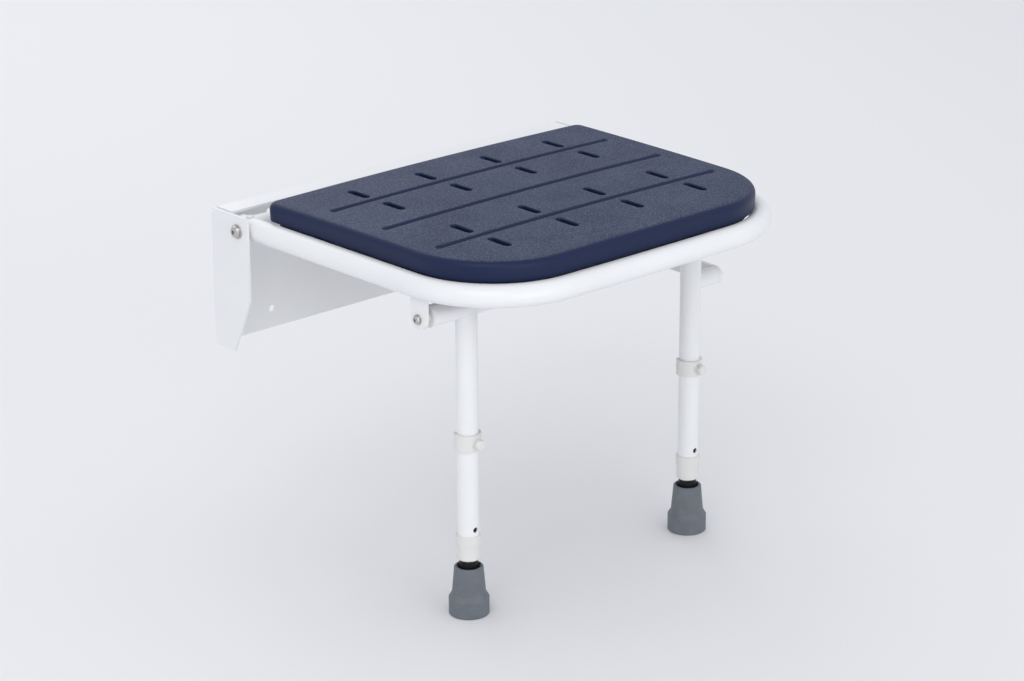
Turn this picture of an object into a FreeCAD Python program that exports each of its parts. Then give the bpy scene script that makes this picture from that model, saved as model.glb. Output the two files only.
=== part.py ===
import FreeCAD, Part
import math
import os
import re
from types import SimpleNamespace

import Sketcher
from FreeCAD import Placement, Rotation, Vector

# Fold-down wall seat: a folded steel bracket on the wall carries a D-shaped tube frame with
# a moulded pad. Two telescopic legs hang from the frame and stay upright, held by a stay on
# the right, while the frame folds up against the wall.
# Origin: centre of the bracket's back face. X runs along the wall, Y into it, Z up.

# Every driving dimension in millimetres: name, value, what it measures.
SIZES = (
    ("bracket_width", 555.2, "wall bracket over its two cheeks"),
    ("bracket_height", 171.0, "wall bracket, bottom to top"),
    ("bracket_depth", 72.0, "cheeks, wall to front edge"),
    ("bracket_gauge", 3.0, "sheet of the bracket"),
    ("bend_radius", 3.0, "inside radius of each fold"),
    ("flange_depth", 34.4, "top flange, wall to front edge"),
    ("cheek_front", 102.0, "upright front edge of a cheek"),
    ("cheek_foot", 40.0, "bottom edge of a cheek"),
    ("nose_radius", 8.0, "upper front corner of a cheek"),
    ("heel_radius", 14.0, "corner between front edge and slope"),
    ("wall_hole_dia", 8.5, "holes for the wall screws"),
    ("wall_hole_span", 384.0, "wall holes, side to side"),
    ("wall_hole_rise", 123.0, "wall holes, lower to upper"),
    ("pivot_setback", 52.8, "seat pivot, out from the wall"),
    ("pivot_rise", 66.7, "seat pivot above the origin"),
    ("seat_top", 104.5, "top of the pad above the origin"),
    ("floor_drop", 352.5, "floor below the origin"),
    ("frame_half_width", 258.1, "frame tube from the middle, at the pivot"),
    ("frame_taper", 1.15, "how far the side tubes close in, degrees"),
    ("frame_reach", 409.5, "pivot to the middle of the front tube"),
    ("frame_corner", 120.8, "bend of the front corners"),
    ("frame_bow", 8270.0, "radius of the bowed front tube"),
    ("frame_tube_dia", 27.2, "frame tube, outside"),
    ("frame_tube_wall", 2.0, "frame tube, wall"),
    ("cap_rim", 2.0, "end cap of the frame tube, visible rim"),
    ("cap_stem", 3.6, "end cap, part inside the tube"),
    ("vent_dia", 8.0, "vent plug on top of the frame's rear corners"),
    ("vent_rim_dia", 10.0, "rim of the vent plug"),
    ("vent_rim", 1.2, "height of the rim of the vent plug"),
    ("vent_stem", 3.6, "vent plug, part inside the tube"),
    ("insert_dia", 16.0, "threaded insert of the seat pivot"),
    ("insert_depth", 14.0, "insert, reach into the rear tube"),
    ("pad_inset", 6.4, "pad edge, inside the line of the frame tube"),
    ("pad_back", 20.1, "pad's rear edge, in front of the pivot"),
    ("pad_thickness", 23.8, "pad, at its middle"),
    ("pad_crown", 2.6, "fall of the pad's top to its side edges"),
    ("pad_edge", 7.5, "rounded top edge of the pad"),
    ("pad_under_edge", 2.0, "rounded lower edge of the pad"),
    ("pad_rear_corner", 20.0, "rear corners of the pad"),
    ("slot_length", 30.0, "drain slot, front to back"),
    ("slot_width", 6.4, "drain slot, side to side"),
    ("slot_pitch", 103.8, "drain slots, side to side"),
    ("slot_row_one", 76.7, "first slot row, in front of the pivot"),
    ("slot_row_two", 140.6, "second slot row"),
    ("slot_row_three", 259.7, "third slot row"),
    ("slot_row_four", 323.7, "fourth slot row"),
    ("groove_length", 442.0, "moulded groove, side to side"),
    ("groove_depth", 3.0, "moulded groove, depth"),
    ("groove_bulb", 8.0, "radius of the groove's round bottom"),
    ("groove_back", 105.5, "first groove, in front of the pivot"),
    ("groove_middle", 199.0, "second groove"),
    ("groove_front", 291.0, "third groove"),
    ("board_thickness", 9.0, "base board under the pad"),
    ("board_gap", 2.0, "board edge to the frame tube"),
    ("strap_width", 27.0, "flat bar across the frame"),
    ("strap_thickness", 4.0, "flat bar across the frame"),
    ("strap_back", 108.7, "rear bar, in front of the pivot"),
    ("strap_front", 291.7, "front bar, in front of the pivot"),
    ("pad_screw_spread", 104.0, "pad screws from the middle"),
    ("pad_screw_dia", 6.0, "pad screw"),
    ("pad_screw_head", 11.0, "pad screw, head"),
    ("pad_screw_rise", 3.3, "pad screw, head height"),
    ("pad_screw_length", 12.0, "pad screw under its head"),
    ("pivot_bolt_dia", 8.0, "seat pivot bolt"),
    ("pivot_bolt_head", 15.0, "seat pivot bolt, head"),
    ("pivot_bolt_rise", 4.6, "seat pivot bolt, head height"),
    ("pivot_washer_dia", 17.4, "washer of the seat pivot"),
    ("pivot_washer", 1.5, "washer thickness"),
    ("bush_dia", 13.0, "cheek bush in its hole"),
    ("bush_flange", 22.0, "flange of the cheek bush"),
    ("running_gap", 0.08, "shaft in its bush, on the radius"),
    ("press_gap", 0.05, "plug pressed into a tube or hole, on the radius"),
    ("small_edge", 0.6, "broken edge of the small turned pieces"),
    ("cut_spill", 1.0, "how far a cutting shape stands out past the piece"),
    ("face_gap", 0.3, "faces that turn beside each other"),
    ("leg_reach", 294.2, "leg pivot in front of the seat pivot"),
    ("leg_drop", 39.2, "leg pivot below the seat pivot"),
    ("lug_width", 25.0, "lug that hangs from the frame tube"),
    ("lug_thickness", 5.0, "lug plate"),
    ("lug_outer", 252.0, "outer face of a lug, from the middle"),
    ("leg_dia", 25.4, "outer leg and crossbar tube"),
    ("leg_wall", 1.5, "outer leg and crossbar, wall"),
    ("leg_span", 361.2, "leg to leg, middle to middle"),
    ("crossbar_length", 474.0, "crossbar tube"),
    ("end_rim", 2.0, "rim of the crossbar's end plug"),
    ("end_stem", 16.0, "end plug inside the crossbar"),
    ("spacer_dia", 13.0, "spacer between crossbar and lug"),
    ("leg_bolt_dia", 6.0, "leg pivot bolt"),
    ("leg_bolt_head", 10.5, "leg pivot bolt, head"),
    ("leg_bolt_rise", 3.4, "leg pivot bolt, head height"),
    ("leg_washer_dia", 12.0, "washer of the leg pivot"),
    ("leg_washer", 1.2, "washer thickness"),
    ("collar_top", 100.0, "lower collar, top above the floor"),
    ("collar_length", 31.0, "lower collar"),
    ("collar_band", 12.0, "wide upper band of the collar"),
    ("collar_wall", 1.1, "lower collar, wall round the outer tube"),
    ("collar_dia", "=leg_dia + 2 * collar_wall", "lower collar, outside"),
    ("collar_band_step", 0.9, "how far the upper band stands out from the collar"),
    ("collar_band_dia", "=collar_dia + 2 * collar_band_step", "wide upper band, outside"),
    ("collar_lip", 5.0, "guide lip under the outer tube"),
    ("collar_edge", 1.5, "broken lower edge of the collar"),
    ("clip_height", 19.6, "clip ring on the outer leg"),
    ("clip_wall", 3.3, "clip ring, wall"),
    ("clip_dia", "=leg_dia + 2 * clip_wall", "clip ring, outside"),
    ("clip_opening", 90.0, "gap at the back of the clip, degrees"),
    ("clip_boss_dia", 13.0, "boss at the front of the clip"),
    ("clip_boss", 18.6, "boss face from the leg's middle"),
    ("pin_level", 216.5, "lock pin above the floor"),
    ("pin_dia", 5.8, "lock pin"),
    ("pin_tip", 8.2, "inner end of the pin from the leg's middle"),
    ("pin_hole_dia", 6.6, "pin holes in both tubes"),
    ("spare_hole_level", 108.0, "lower hole of the outer leg, above the floor"),
    ("knob_dia", 12.4, "round knob of the lock pin"),
    ("knob_rise", 6.4, "knob, front to back"),
    ("knob_dome", 2.0, "rounded front of the knob"),
    ("knob_socket", 4.0, "pin's seat inside the knob"),
    ("hole_pitch", 20.0, "holes up the inner tube"),
    ("hole_count", 7, "number of those holes"),
    ("inner_dia", 21.8, "inner tube"),
    ("inner_wall", 1.5, "inner tube, wall"),
    ("inner_above", 16.0, "inner tube above its last hole"),
    ("glide_dia", 22.24, "glide at the top of the inner tube"),
    ("glide_rim", 4.0, "glide above the tube"),
    ("glide_stem", 8.0, "glide inside the tube"),
    ("foot_height", 60.0, "rubber foot"),
    ("foot_base_dia", 47.8, "foot on the floor"),
    ("foot_base", 20.6, "straight base of the foot"),
    ("foot_waist_dia", 40.0, "foot above its shoulder"),
    ("foot_waist", 27.0, "height of the waist"),
    ("foot_rim_dia", 34.4, "top rim of the foot"),
    ("foot_mouth_dia", 28.4, "open mouth of the foot"),
    ("foot_mouth", 9.0, "depth of the open mouth"),
    ("foot_edge", 1.2, "broken edges of the foot"),
    ("foot_floor", 8.0, "rubber under the washer and tube"),
    ("foot_washer", 2.0, "steel washer in the foot"),
    ("stub_drop", 55.6, "stay pivot under the leg pivot"),
    ("stub_dia", 22.0, "stub on the right leg"),
    ("stub_wall", 2.0, "stub, wall"),
    ("stub_plug", 11.0, "threaded plug in the stub"),
    ("stay_inner", 220.0, "inner face of the stay, from the middle"),
    ("stay_thickness", 5.0, "stay strip"),
    ("stay_width", 22.0, "stay strip"),
    ("stay_crank", 45.0, "stay's bend, in front of its rear pivot"),
    ("stay_bolt_dia", 8.0, "stay bolts"),
    ("stay_bolt_head", 14.0, "stay bolts, head"),
    ("stay_bolt_rise", 4.4, "stay bolts, head height"),
    ("stay_washer_dia", 16.0, "washers of the stay"),
    ("stay_washer", 1.6, "washer thickness"),
    ("ear_gauge", 4.0, "ear on the bracket that carries the stay"),
    ("ear_radius", 14.0, "round end of the ear"),
    ("ear_root", 50.0, "ear at the back plate"),
    ("nut_across", 14.4, "nut over its corners"),
    ("nut_height", 6.5, "nut"),
    ("thread_end", 1.0, "thread that shows past the nut"),
)

# Button heads, as shares of the head's width, the head's height and the thread's width.
HEAD_RIM_HEIGHT, HEAD_SHOULDER_HEIGHT = 0.3, 0.75
HEAD_SHOULDER, HEAD_CROWN = 0.42, 0.27
SOCKET_SIZE, SOCKET_FLOOR = 0.36, 0.4

NODES = []
UP = Rotation()
RIGHT = Rotation(Vector(0, 0, 1), Vector(1, 0, 0))
FRONT = Rotation(Vector(0, 0, 1), Vector(0, -1, 0))
DOWN = Rotation(Vector(0, 0, 1), Vector(0, 0, -1))
SIDE_VIEW = Rotation(Vector(0, 1, 0), Vector(0, 0, 1), Vector(1, 0, 0))

doc = FreeCAD.newDocument("fold_down_wall_seat")
sheet = doc.addObject("Spreadsheet::Sheet", "Sizes")
for row, (alias, number, meaning) in enumerate(SIZES, start=1):
    sheet.set(f"A{row}", meaning)
    sheet.set(f"B{row}", str(number))
    sheet.setAlias(f"B{row}", alias)
doc.recompute()
size = SimpleNamespace(**{alias: float(sheet.get(alias)) for alias, _, _ in SIZES})


def linked(expression):
    """The expression with each size's name pointing at its cell."""
    return re.sub(r"[a-z][a-z_]+", lambda m: f"Sizes.{m[0]}" if hasattr(size, m[0]) else m[0], expression)


def bind(item, **properties):
    """Tie properties of an object to expressions on the sizes."""
    for name, expression in properties.items():
        item.setExpression(name, linked(expression))


def place(item, turn=UP, x="0", y="0", z="0"):
    """Turn an object and tie its position to the sizes."""
    item.Placement = Placement(Vector(), turn)
    for axis, expression in zip("xyz", (x, y, z)):
        item.setExpression(f"Placement.Base.{axis}", linked(expression))
    return item


def sub_part(item, name):
    """Name an object as one finished piece of the seat."""
    item.Label = name
    NODES.append(item)
    return item


def rod(name, diameter, length, turn=UP, x="0", y="0", z="0"):
    """A solid round bar that starts at x, y, z and runs the way it is turned."""
    item = doc.addObject("Part::Cylinder", name)
    bind(item, Radius=f"({diameter}) / 2", Height=length)
    return place(item, turn, x, y, z)


def block(name, length, width, height, x, y, z):
    """A box from its lowest corner."""
    item = doc.addObject("Part::Box", name)
    bind(item, Length=length, Width=width, Height=height)
    return place(item, UP, x, y, z)


def cut(name, base, *tools):
    """The base with every tool taken out of it."""
    for number, tool in enumerate(tools, start=1):
        item = doc.addObject("Part::Cut", name if number == len(tools) else f"{name}_cut_{number}")
        item.Base = base
        item.Tool = tool
        base = item
    return base


def join(name, *pieces):
    """Several shapes fused into one solid."""
    item = doc.addObject("Part::MultiFuse", name)
    item.Shapes = list(pieces)
    return item


def ring(name, outside, inside, length, turn=UP, x="0", y="0", z="0"):
    """A tube or washer."""
    wall = rod(f"{name}_outside", outside, length, turn, x, y, z)
    bore = rod(f"{name}_inside", inside, length, turn, x, y, z)
    return cut(name, wall, bore)


def mirrored(name, source):
    """The same piece on the other side of the seat."""
    item = doc.addObject("Part::Mirroring", name)
    item.Source = source
    item.Normal = Vector(1, 0, 0)
    item.Base = Vector()
    return item


def pair(name, source):
    """A right-hand piece and its left-hand copy, kept as two solids."""
    item = doc.addObject("Part::Compound", name)
    item.Links = [source, mirrored(f"{name}_left", source)]
    return item


def draw(sketch, corners, closed=True):
    """Straight lines through corners, each corner tied to the sizes by its two distances."""
    count = len(corners)
    spots = [Vector(index, index * index * 0.1, 0) for index in range(count)]
    lines = count if closed else count - 1
    for index in range(lines):
        sketch.addGeometry(Part.LineSegment(spots[index], spots[(index + 1) % count]), False)
    for index in range(lines if closed else lines - 1):
        sketch.addConstraint(Sketcher.Constraint("Coincident", index, 2, (index + 1) % lines, 1))
    for index, corner in enumerate(corners):
        line, end = (index, 1) if index < lines else (index - 1, 2)
        for kind, expression in zip(("DistanceX", "DistanceY"), corner):
            number = sketch.addConstraint(Sketcher.Constraint(kind, -1, 1, line, end, 1.0))
            sketch.renameConstraint(number, f"corner{index}_{kind}")
            sketch.setExpression(f"Constraints.corner{index}_{kind}", linked(expression))
    doc.recompute()
    return sketch


def turned(name, profile, turn=UP, x="0", y="0", z="0"):
    """A lathe-turned piece: a profile of radius and height pairs, spun round its axis."""
    sketch = draw(doc.addObject("Sketcher::SketchObject", f"{name}_profile"), profile)
    item = doc.addObject("Part::Revolution", name)
    item.Source = sketch
    item.Axis = Vector(0, 1, 0)
    item.Angle = 360
    item.Solid = True
    return place(item, turn.multiply(Rotation(Vector(0, 1, 0), Vector(0, 0, 1))), x, y, z)


def strip(name, corners, width, thickness, x):
    """A flat strip with round ends, cut in the side view along a line of corners (y, z)."""
    sketch = doc.addObject("Sketcher::SketchObject", f"{name}_line")
    draw(sketch, corners, closed=False)
    outline = doc.addObject("Part::Offset2D", f"{name}_outline")
    outline.Source = sketch
    bind(outline, Value=f"({width}) / 2")
    outline.Mode = "Pipe"
    outline.Fill = True
    item = doc.addObject("Part::Extrusion", name)
    item.Base = outline
    item.DirMode = "Custom"
    item.Dir = Vector(0, 0, 1)
    item.Solid = True
    bind(item, LengthFwd=thickness)
    return place(item, SIDE_VIEW, x=x)


def button_bolt(name, diameter, length, head, rise, turn, x, y, z):
    """A round-headed bolt with a hexagon socket; x, y, z lie under its head."""
    profile = (
        ("0", f"-({length})"),
        (f"({diameter}) / 2", f"-({length})"),
        (f"({diameter}) / 2", "0"),
        (f"({head}) / 2", "0"),
        (f"({head}) / 2", f"({rise}) * {HEAD_RIM_HEIGHT}"),
        (f"({head}) * {HEAD_SHOULDER}", f"({rise}) * {HEAD_SHOULDER_HEIGHT}"),
        (f"({head}) * {HEAD_CROWN}", rise),
        ("0", rise),
    )
    blank = turned(f"{name}_blank", profile, turn, x, y, z)
    socket = doc.addObject("Part::Prism", f"{name}_socket")
    socket.Polygon = 6
    bind(socket, Circumradius=f"({diameter}) * {SOCKET_SIZE}", Height=rise)
    way = turn.multVec(Vector(0, 0, 1))
    seat = [f"{at} + ({part:g}) * ({rise}) * {SOCKET_FLOOR}" for at, part in zip((x, y, z), way)]
    place(socket, turn, *seat)
    return cut(name, blank, socket)


PIVOT_Y = "-pivot_setback"
LEG_Y = "-pivot_setback - leg_reach"
LEG_Z = "pivot_rise - leg_drop"
LEG_X = "leg_span / 2"
STUB_Z = f"{LEG_Z} - stub_drop"
EAR_Z = "pivot_rise - stub_drop"
FLOOR = "-floor_drop"
BOARD_UNDER = "seat_top - pad_thickness - board_thickness"
INSERT_END = "(frame_half_width + frame_tube_dia / 2 + face_gap)"
CHEEK_INSIDE = "(bracket_width / 2 - bracket_gauge)"
BUSH_RIM = f"({CHEEK_INSIDE} - {INSERT_END} - face_gap)"
LEG_BORE = "(leg_dia - 2 * leg_wall)"
COLLAR_FOOT = f"{FLOOR} + collar_top - collar_length"
PIN_Z = f"{FLOOR} + pin_level"
STAY_OUTER = "(stay_inner + stay_thickness)"
EAR_X = f"({STAY_OUTER} + face_gap + stay_washer)"


def plane_of(body, role):
    """One of a body's own origin planes."""
    return next(f for f in body.Origin.OriginFeatures if f.Role == role)


def body_sketch(body, name, role, offset=None):
    """An empty sketch on an origin plane of a body, moved off it along its normal by `offset`."""
    sketch = body.newObject("Sketcher::SketchObject", name)
    sketch.AttachmentSupport = [(plane_of(body, role), "")]
    sketch.MapMode = "FlatFace"
    if offset:
        sketch.setExpression("AttachmentOffset.Base.z", linked(offset))
    return sketch


def circle(sketch, x, y, diameter):
    """A circle in a sketch with its centre and size tied to the sizes."""
    number = sketch.addGeometry(Part.Circle(Vector(), Vector(0, 0, 1), 1), False)
    for kind, expression in (("DistanceX", x), ("DistanceY", y)):
        spot = sketch.addConstraint(Sketcher.Constraint(kind, -1, 1, number, 3, 1.0))
        sketch.setExpression(f"Constraints[{spot}]", linked(expression))
    girth = sketch.addConstraint(Sketcher.Constraint("Diameter", number, 1.0))
    sketch.setExpression(f"Constraints[{girth}]", linked(diameter))


def pad_feature(body, name, sketch, length, midplane=False):
    """Material added straight out of a sketch."""
    item = body.newObject("PartDesign::Pad", name)
    item.Profile = sketch
    item.SideType = "Symmetric" if midplane else "One side"
    bind(item, Length=length)
    doc.recompute()
    return item


def pocket_through(body, name, sketch):
    """A cut both ways from a sketch, which has to take material away."""
    before = body.Shape.Volume
    item = body.newObject("PartDesign::Pocket", name)
    item.Profile = sketch
    item.SideType = "Symmetric"
    item.Type = "ThroughAll"
    doc.recompute()
    if body.Shape.Volume >= before:
        raise RuntimeError(f"{name} cuts nothing")


def fold(body, name, radius, chosen):
    """Rounded edges on a body, as a press brake leaves them."""
    edges = [f"Edge{n}" for n, e in enumerate(body.Shape.Edges, start=1) if chosen(e)]
    bent = body.Tip
    item = body.newObject("PartDesign::Fillet", name)
    item.Base = (bent, edges)
    bind(item, Radius=radius)
    doc.recompute()


def runs_at(edge, along, **spot):
    """Whether a straight edge runs along an axis at these coordinates; x counts on both sides."""
    ends = [vertex.Point for vertex in edge.Vertexes]
    if len(ends) != 2 or abs(getattr(ends[1] - ends[0], along)) < edge.Length * 0.999:
        return False
    places = {
        axis: (abs(getattr(end, axis)) if axis == "x" else getattr(end, axis))
        for end in ends for axis in spot
    }
    return all(abs(places[axis] - at) < 0.01 for axis, at in spot.items())


def wall_bracket():
    """Folded sheet: back plate, top flange and two cheeks that hold the seat pivot."""
    body = doc.addObject("PartDesign::Body", "wall_bracket")
    half = size.bracket_height / 2
    gauge = size.bracket_gauge

    top = "bracket_height / 2"
    side, inner = "bracket_width / 2", "(bracket_width / 2 - bracket_gauge)"
    cheeks = body_sketch(body, "cheek_section", "XY_Plane", f"-{top}")
    draw(cheeks, (
        (f"-{side}", "-bracket_depth"), (f"-{side}", "0"), (side, "0"), (side, "-bracket_depth"),
        (inner, "-bracket_depth"), (inner, "-bracket_gauge"), (f"-{inner}", "-bracket_gauge"),
        (f"-{inner}", "-bracket_depth"),
    ))
    pad_feature(body, "cheeks", cheeks, "bracket_height - bend_radius - bracket_gauge")
    wide = size.bracket_width / 2
    fold(body, "cheek_bends_outside", "bend_radius + bracket_gauge", lambda e: runs_at(e, "z", x=wide, y=0))
    fold(body, "cheek_bends_inside", "bend_radius", lambda e: runs_at(e, "z", x=wide - gauge, y=-gauge))

    flange = body_sketch(body, "flange_section", "YZ_Plane")
    draw(flange, (
        ("0", f"-{top}"), ("0", top), ("-flange_depth", top), ("-flange_depth", f"{top} - bracket_gauge"),
        ("-bracket_gauge", f"{top} - bracket_gauge"), ("-bracket_gauge", f"-{top}"),
    ))
    width = "bracket_width - 2 * (bend_radius + bracket_gauge + face_gap)"
    pad_feature(body, "back_and_flange", flange, width, midplane=True)
    fold(body, "flange_bend_outside", "bend_radius + bracket_gauge", lambda e: runs_at(e, "x", y=0, z=half))
    fold(body, "flange_bend_inside", "bend_radius", lambda e: runs_at(e, "x", y=-gauge, z=half - gauge))

    for name, near, far in (("right", inner, side), ("left", f"-{side}", f"-{inner}")):
        crest = body_sketch(body, f"{name}_crest", "XY_Plane", f"{top} - bend_radius - bracket_gauge")
        back = "-bend_radius - bracket_gauge"
        draw(crest, ((near, "-bracket_depth"), (far, "-bracket_depth"), (far, back), (near, back)))
        pad_feature(body, f"{name}_cheek_top", crest, "bend_radius + bracket_gauge")

    slope = body_sketch(body, "slope_cut", "YZ_Plane")
    draw(slope, (
        ("-bracket_depth - cut_spill", f"-{top} - cut_spill"), ("-cheek_foot", f"-{top} - cut_spill"),
        ("-cheek_foot", f"-{top}"), ("-bracket_depth", f"{top} - cheek_front"),
        ("-bracket_depth - cut_spill", f"{top} - cheek_front"),
    ))
    pocket_through(body, "slope", slope)
    front = -size.bracket_depth
    fold(body, "nose", "nose_radius", lambda e: runs_at(e, "x", y=front, z=half))
    fold(body, "heel", "heel_radius", lambda e: runs_at(e, "x", y=front, z=half - size.cheek_front))

    holes = body_sketch(body, "wall_hole_spots", "XZ_Plane")
    for across in ("wall_hole_span / 2", "-wall_hole_span / 2"):
        for up in ("wall_hole_rise / 2", "-wall_hole_rise / 2"):
            circle(holes, across, up, "wall_hole_dia")
    pocket_through(body, "wall_holes", holes)
    bush_hole = body_sketch(body, "bush_hole_spot", "YZ_Plane")
    circle(bush_hole, PIVOT_Y, "pivot_rise", "bush_dia")
    pocket_through(body, "bush_holes", bush_hole)
    sub_part(body, "wall_bracket")


def plan_outline(inset, rear):
    """Seat outline seen from above, as half its points from the rear right to the front middle.

    The side runs straight and closes in a little, a round corner follows, then the bowed
    front. `inset` moves the outline inwards from the line of the frame tube, and `rear` is
    where it starts, in front of the pivot.
    """
    slant = math.radians(size.frame_taper)
    across, along = math.cos(slant), math.sin(slant)
    side = size.frame_half_width * across
    bow_middle = size.frame_reach - size.frame_bow
    shift = (side - size.frame_corner) / across
    fall = along / across
    a = fall * fall + 1
    b = -2 * shift * fall - 2 * bow_middle
    c = shift**2 + bow_middle**2 - (size.frame_bow - size.frame_corner) ** 2
    corner_u = (-b + math.sqrt(b * b - 4 * a * c)) / (2 * a)
    corner_x = shift - corner_u * fall
    radius = size.frame_corner - inset
    start_angle = slant
    end_angle = math.atan2(corner_u - bow_middle, corner_x)

    def on_corner(angle):
        return corner_x + radius * math.cos(angle), corner_u + radius * math.sin(angle)

    return [
        ((side - inset - rear * along) / across, rear),
        on_corner(start_angle),
        on_corner((start_angle + end_angle) / 2),
        on_corner(end_angle),
        (0.0, size.frame_reach - inset),
    ]


def plan_edges(inset, rear, level):
    """The seat outline as edges at a level, from the rear right round the front to the rear left."""
    right = [Vector(x, -size.pivot_setback - u, level) for x, u in plan_outline(inset, rear)]
    left = [Vector(-p.x, p.y, p.z) for p in right]
    return [
        Part.LineSegment(right[0], right[1]).toShape(),
        Part.Arc(right[1], right[2], right[3]).toShape(),
        Part.Arc(right[3], right[4], left[3]).toShape(),
        Part.Arc(left[3], left[2], left[1]).toShape(),
        Part.LineSegment(left[1], left[0]).toShape(),
    ]


def plate(inset, rear, level, thickness, rear_corner):
    """A flat plate with the seat's outline and rounded rear corners."""
    edges = plan_edges(inset, rear, level)
    closing = Part.LineSegment(edges[-1].Vertexes[-1].Point, edges[0].Vertexes[0].Point).toShape()
    solid = Part.Face(Part.Wire(edges + [closing])).extrude(Vector(0, 0, thickness))
    rear_y = -size.pivot_setback - rear
    uprights = [edge for edge in solid.Edges if runs_at(edge, "z", y=rear_y)]
    return solid.makeFillet(rear_corner, uprights)


def frame_bar(diameter):
    """A round bar bent to the seat frame's line, open at the rear."""
    runs = []
    for edge in plan_edges(0, -size.frame_tube_dia / 2, size.pivot_rise):
        start = edge.valueAt(edge.FirstParameter)
        end_circle = Part.Circle(start, edge.tangentAt(edge.FirstParameter), diameter / 2)
        end_face = Part.Face(Part.Wire(end_circle.toShape()))
        if isinstance(edge.Curve, Part.Line):
            runs.append(end_face.extrude(edge.valueAt(edge.LastParameter) - start))
        else:
            turn = math.degrees(edge.Length / edge.Curve.Radius)
            way = edge.Curve.Axis if edge.Curve.Axis.cross(start - edge.Curve.Center).dot(
                edge.tangentAt(edge.FirstParameter)) > 0 else edge.Curve.Axis * -1
            runs.append(end_face.revolve(edge.Curve.Center, way, turn))
    return runs[0].fuse(runs[1:]).removeSplitter()


def shaped(name, shape):
    """A piece whose shape is worked out here from the sizes."""
    item = doc.addObject("Part::Feature", name)
    item.Shape = shape
    return item


def seat_frame():
    """D-shaped frame tube with its rear cross tube, inserts, caps, plugs, bars and lugs."""
    envelope = shaped("frame_envelope", frame_bar(size.frame_tube_dia))
    bore = shaped("frame_bore", frame_bar(size.frame_tube_dia - 2 * size.frame_tube_wall))
    insert_length = "insert_depth + frame_tube_dia"
    insert_start = f"{INSERT_END} - ({insert_length})"
    insert = rod("insert_blank", "insert_dia", insert_length, RIGHT, insert_start, PIVOT_Y, "pivot_rise")
    insert_left = mirrored("insert_blank_left", insert)

    vent_hole = rod("vent_hole", "vent_dia", "frame_tube_dia", UP, "frame_half_width", PIVOT_Y, "pivot_rise")
    vent_hole_left = mirrored("vent_hole_left", vent_hole)
    tube = cut("seat_frame_tube", envelope, bore, insert, insert_left, vent_hole, vent_hole_left)
    sub_part(tube, "seat_frame_tube")

    rear = ring("rear_tube_blank", "frame_tube_dia", "frame_tube_dia - 2 * frame_tube_wall",
                "2 * frame_half_width", RIGHT, "-frame_half_width", PIVOT_Y, "pivot_rise")
    rear_tube = cut("rear_cross_tube", rear, envelope, vent_hole, vent_hole_left)
    sub_part(rear_tube, "rear_cross_tube")

    thread = rod("insert_thread", "pivot_bolt_dia + 2 * running_gap", insert_length, RIGHT,
                 insert_start, PIVOT_Y, "pivot_rise")
    sub_part(pair("pivot_inserts_pair", cut("pivot_insert", insert, thread)), "pivot_inserts")

    lean = Rotation(Vector(0, 0, 1), -size.frame_taper)
    rear_end = f"{PIVOT_Y} + frame_tube_dia / 2"
    cap_grip = "frame_tube_dia / 2 - frame_tube_wall - press_gap"
    cap = turned("end_cap", (
        ("0", "-cap_rim"), ("frame_tube_dia / 2 - small_edge", "-cap_rim"),
        ("frame_tube_dia / 2", "small_edge - cap_rim"), ("frame_tube_dia / 2", "0"), (cap_grip, "0"),
        (cap_grip, "cap_stem"), ("0", "cap_stem"),
    ), lean.multiply(FRONT), "frame_half_width + frame_tube_dia / 2 * tan(frame_taper)", rear_end,
        "pivot_rise")
    sub_part(pair("end_caps_pair", cut("end_cap_cut", cap, insert)), "frame_end_caps")

    vent = turned("vent_plug", (
        ("0", "-vent_stem"), ("vent_dia / 2 - press_gap", "-vent_stem"), ("vent_dia / 2 - press_gap", "0"),
        ("vent_rim_dia / 2", "0"), ("vent_rim_dia / 2 - small_edge", "vent_rim"), ("0", "vent_rim"),
    ), UP, "frame_half_width", PIVOT_Y, "pivot_rise + frame_tube_dia / 2")
    sub_part(pair("vent_plugs_pair", vent), "vent_plugs")

    bars = []
    for row in ("strap_back", "strap_front"):
        bar = block(f"{row}_bar", "2 * frame_half_width", "strap_width", "strap_thickness",
                    "-frame_half_width", f"{PIVOT_Y} - {row} - strap_width / 2",
                    f"{BOARD_UNDER} - strap_thickness")
        trimmed = cut(f"{row}_trimmed", bar, envelope, *screw_holes(row, "bar"))
        bars.append(trimmed)
    both = doc.addObject("Part::Compound", "pad_support_bars")
    both.Links = bars
    sub_part(both, "pad_support_bars")

    lug_inner = "lug_outer - lug_thickness"
    upright = block("lug_plate", "lug_thickness", "lug_width", "leg_drop", lug_inner,
                    f"{LEG_Y} - lug_width / 2", LEG_Z)
    toe = rod("lug_toe", "lug_width", "lug_thickness", RIGHT, lug_inner, LEG_Y, LEG_Z)
    eye = rod("lug_eye", "leg_bolt_dia + 2 * running_gap", "2 * lug_thickness", RIGHT,
              "lug_outer - 1.5 * lug_thickness", LEG_Y, LEG_Z)
    lug = cut("right_lug_shape", join("lug_blank", upright, toe), envelope, eye)
    sub_part(lug, "right_leg_lug")
    sub_part(mirrored("left_leg_lug", lug), "left_leg_lug")


def screw_holes(row, piece):
    """The holes of one bar's two pad screws, through the bar and into the board."""
    return [
        rod(f"{piece}_{row}_{hand}_hole", "pad_screw_dia + 2 * running_gap", "pad_screw_length", UP,
            f"{side}pad_screw_spread", f"{PIVOT_Y} - {row}", f"{BOARD_UNDER} - strap_thickness")
        for hand, side in (("right", ""), ("left", "-"))
    ]


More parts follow.
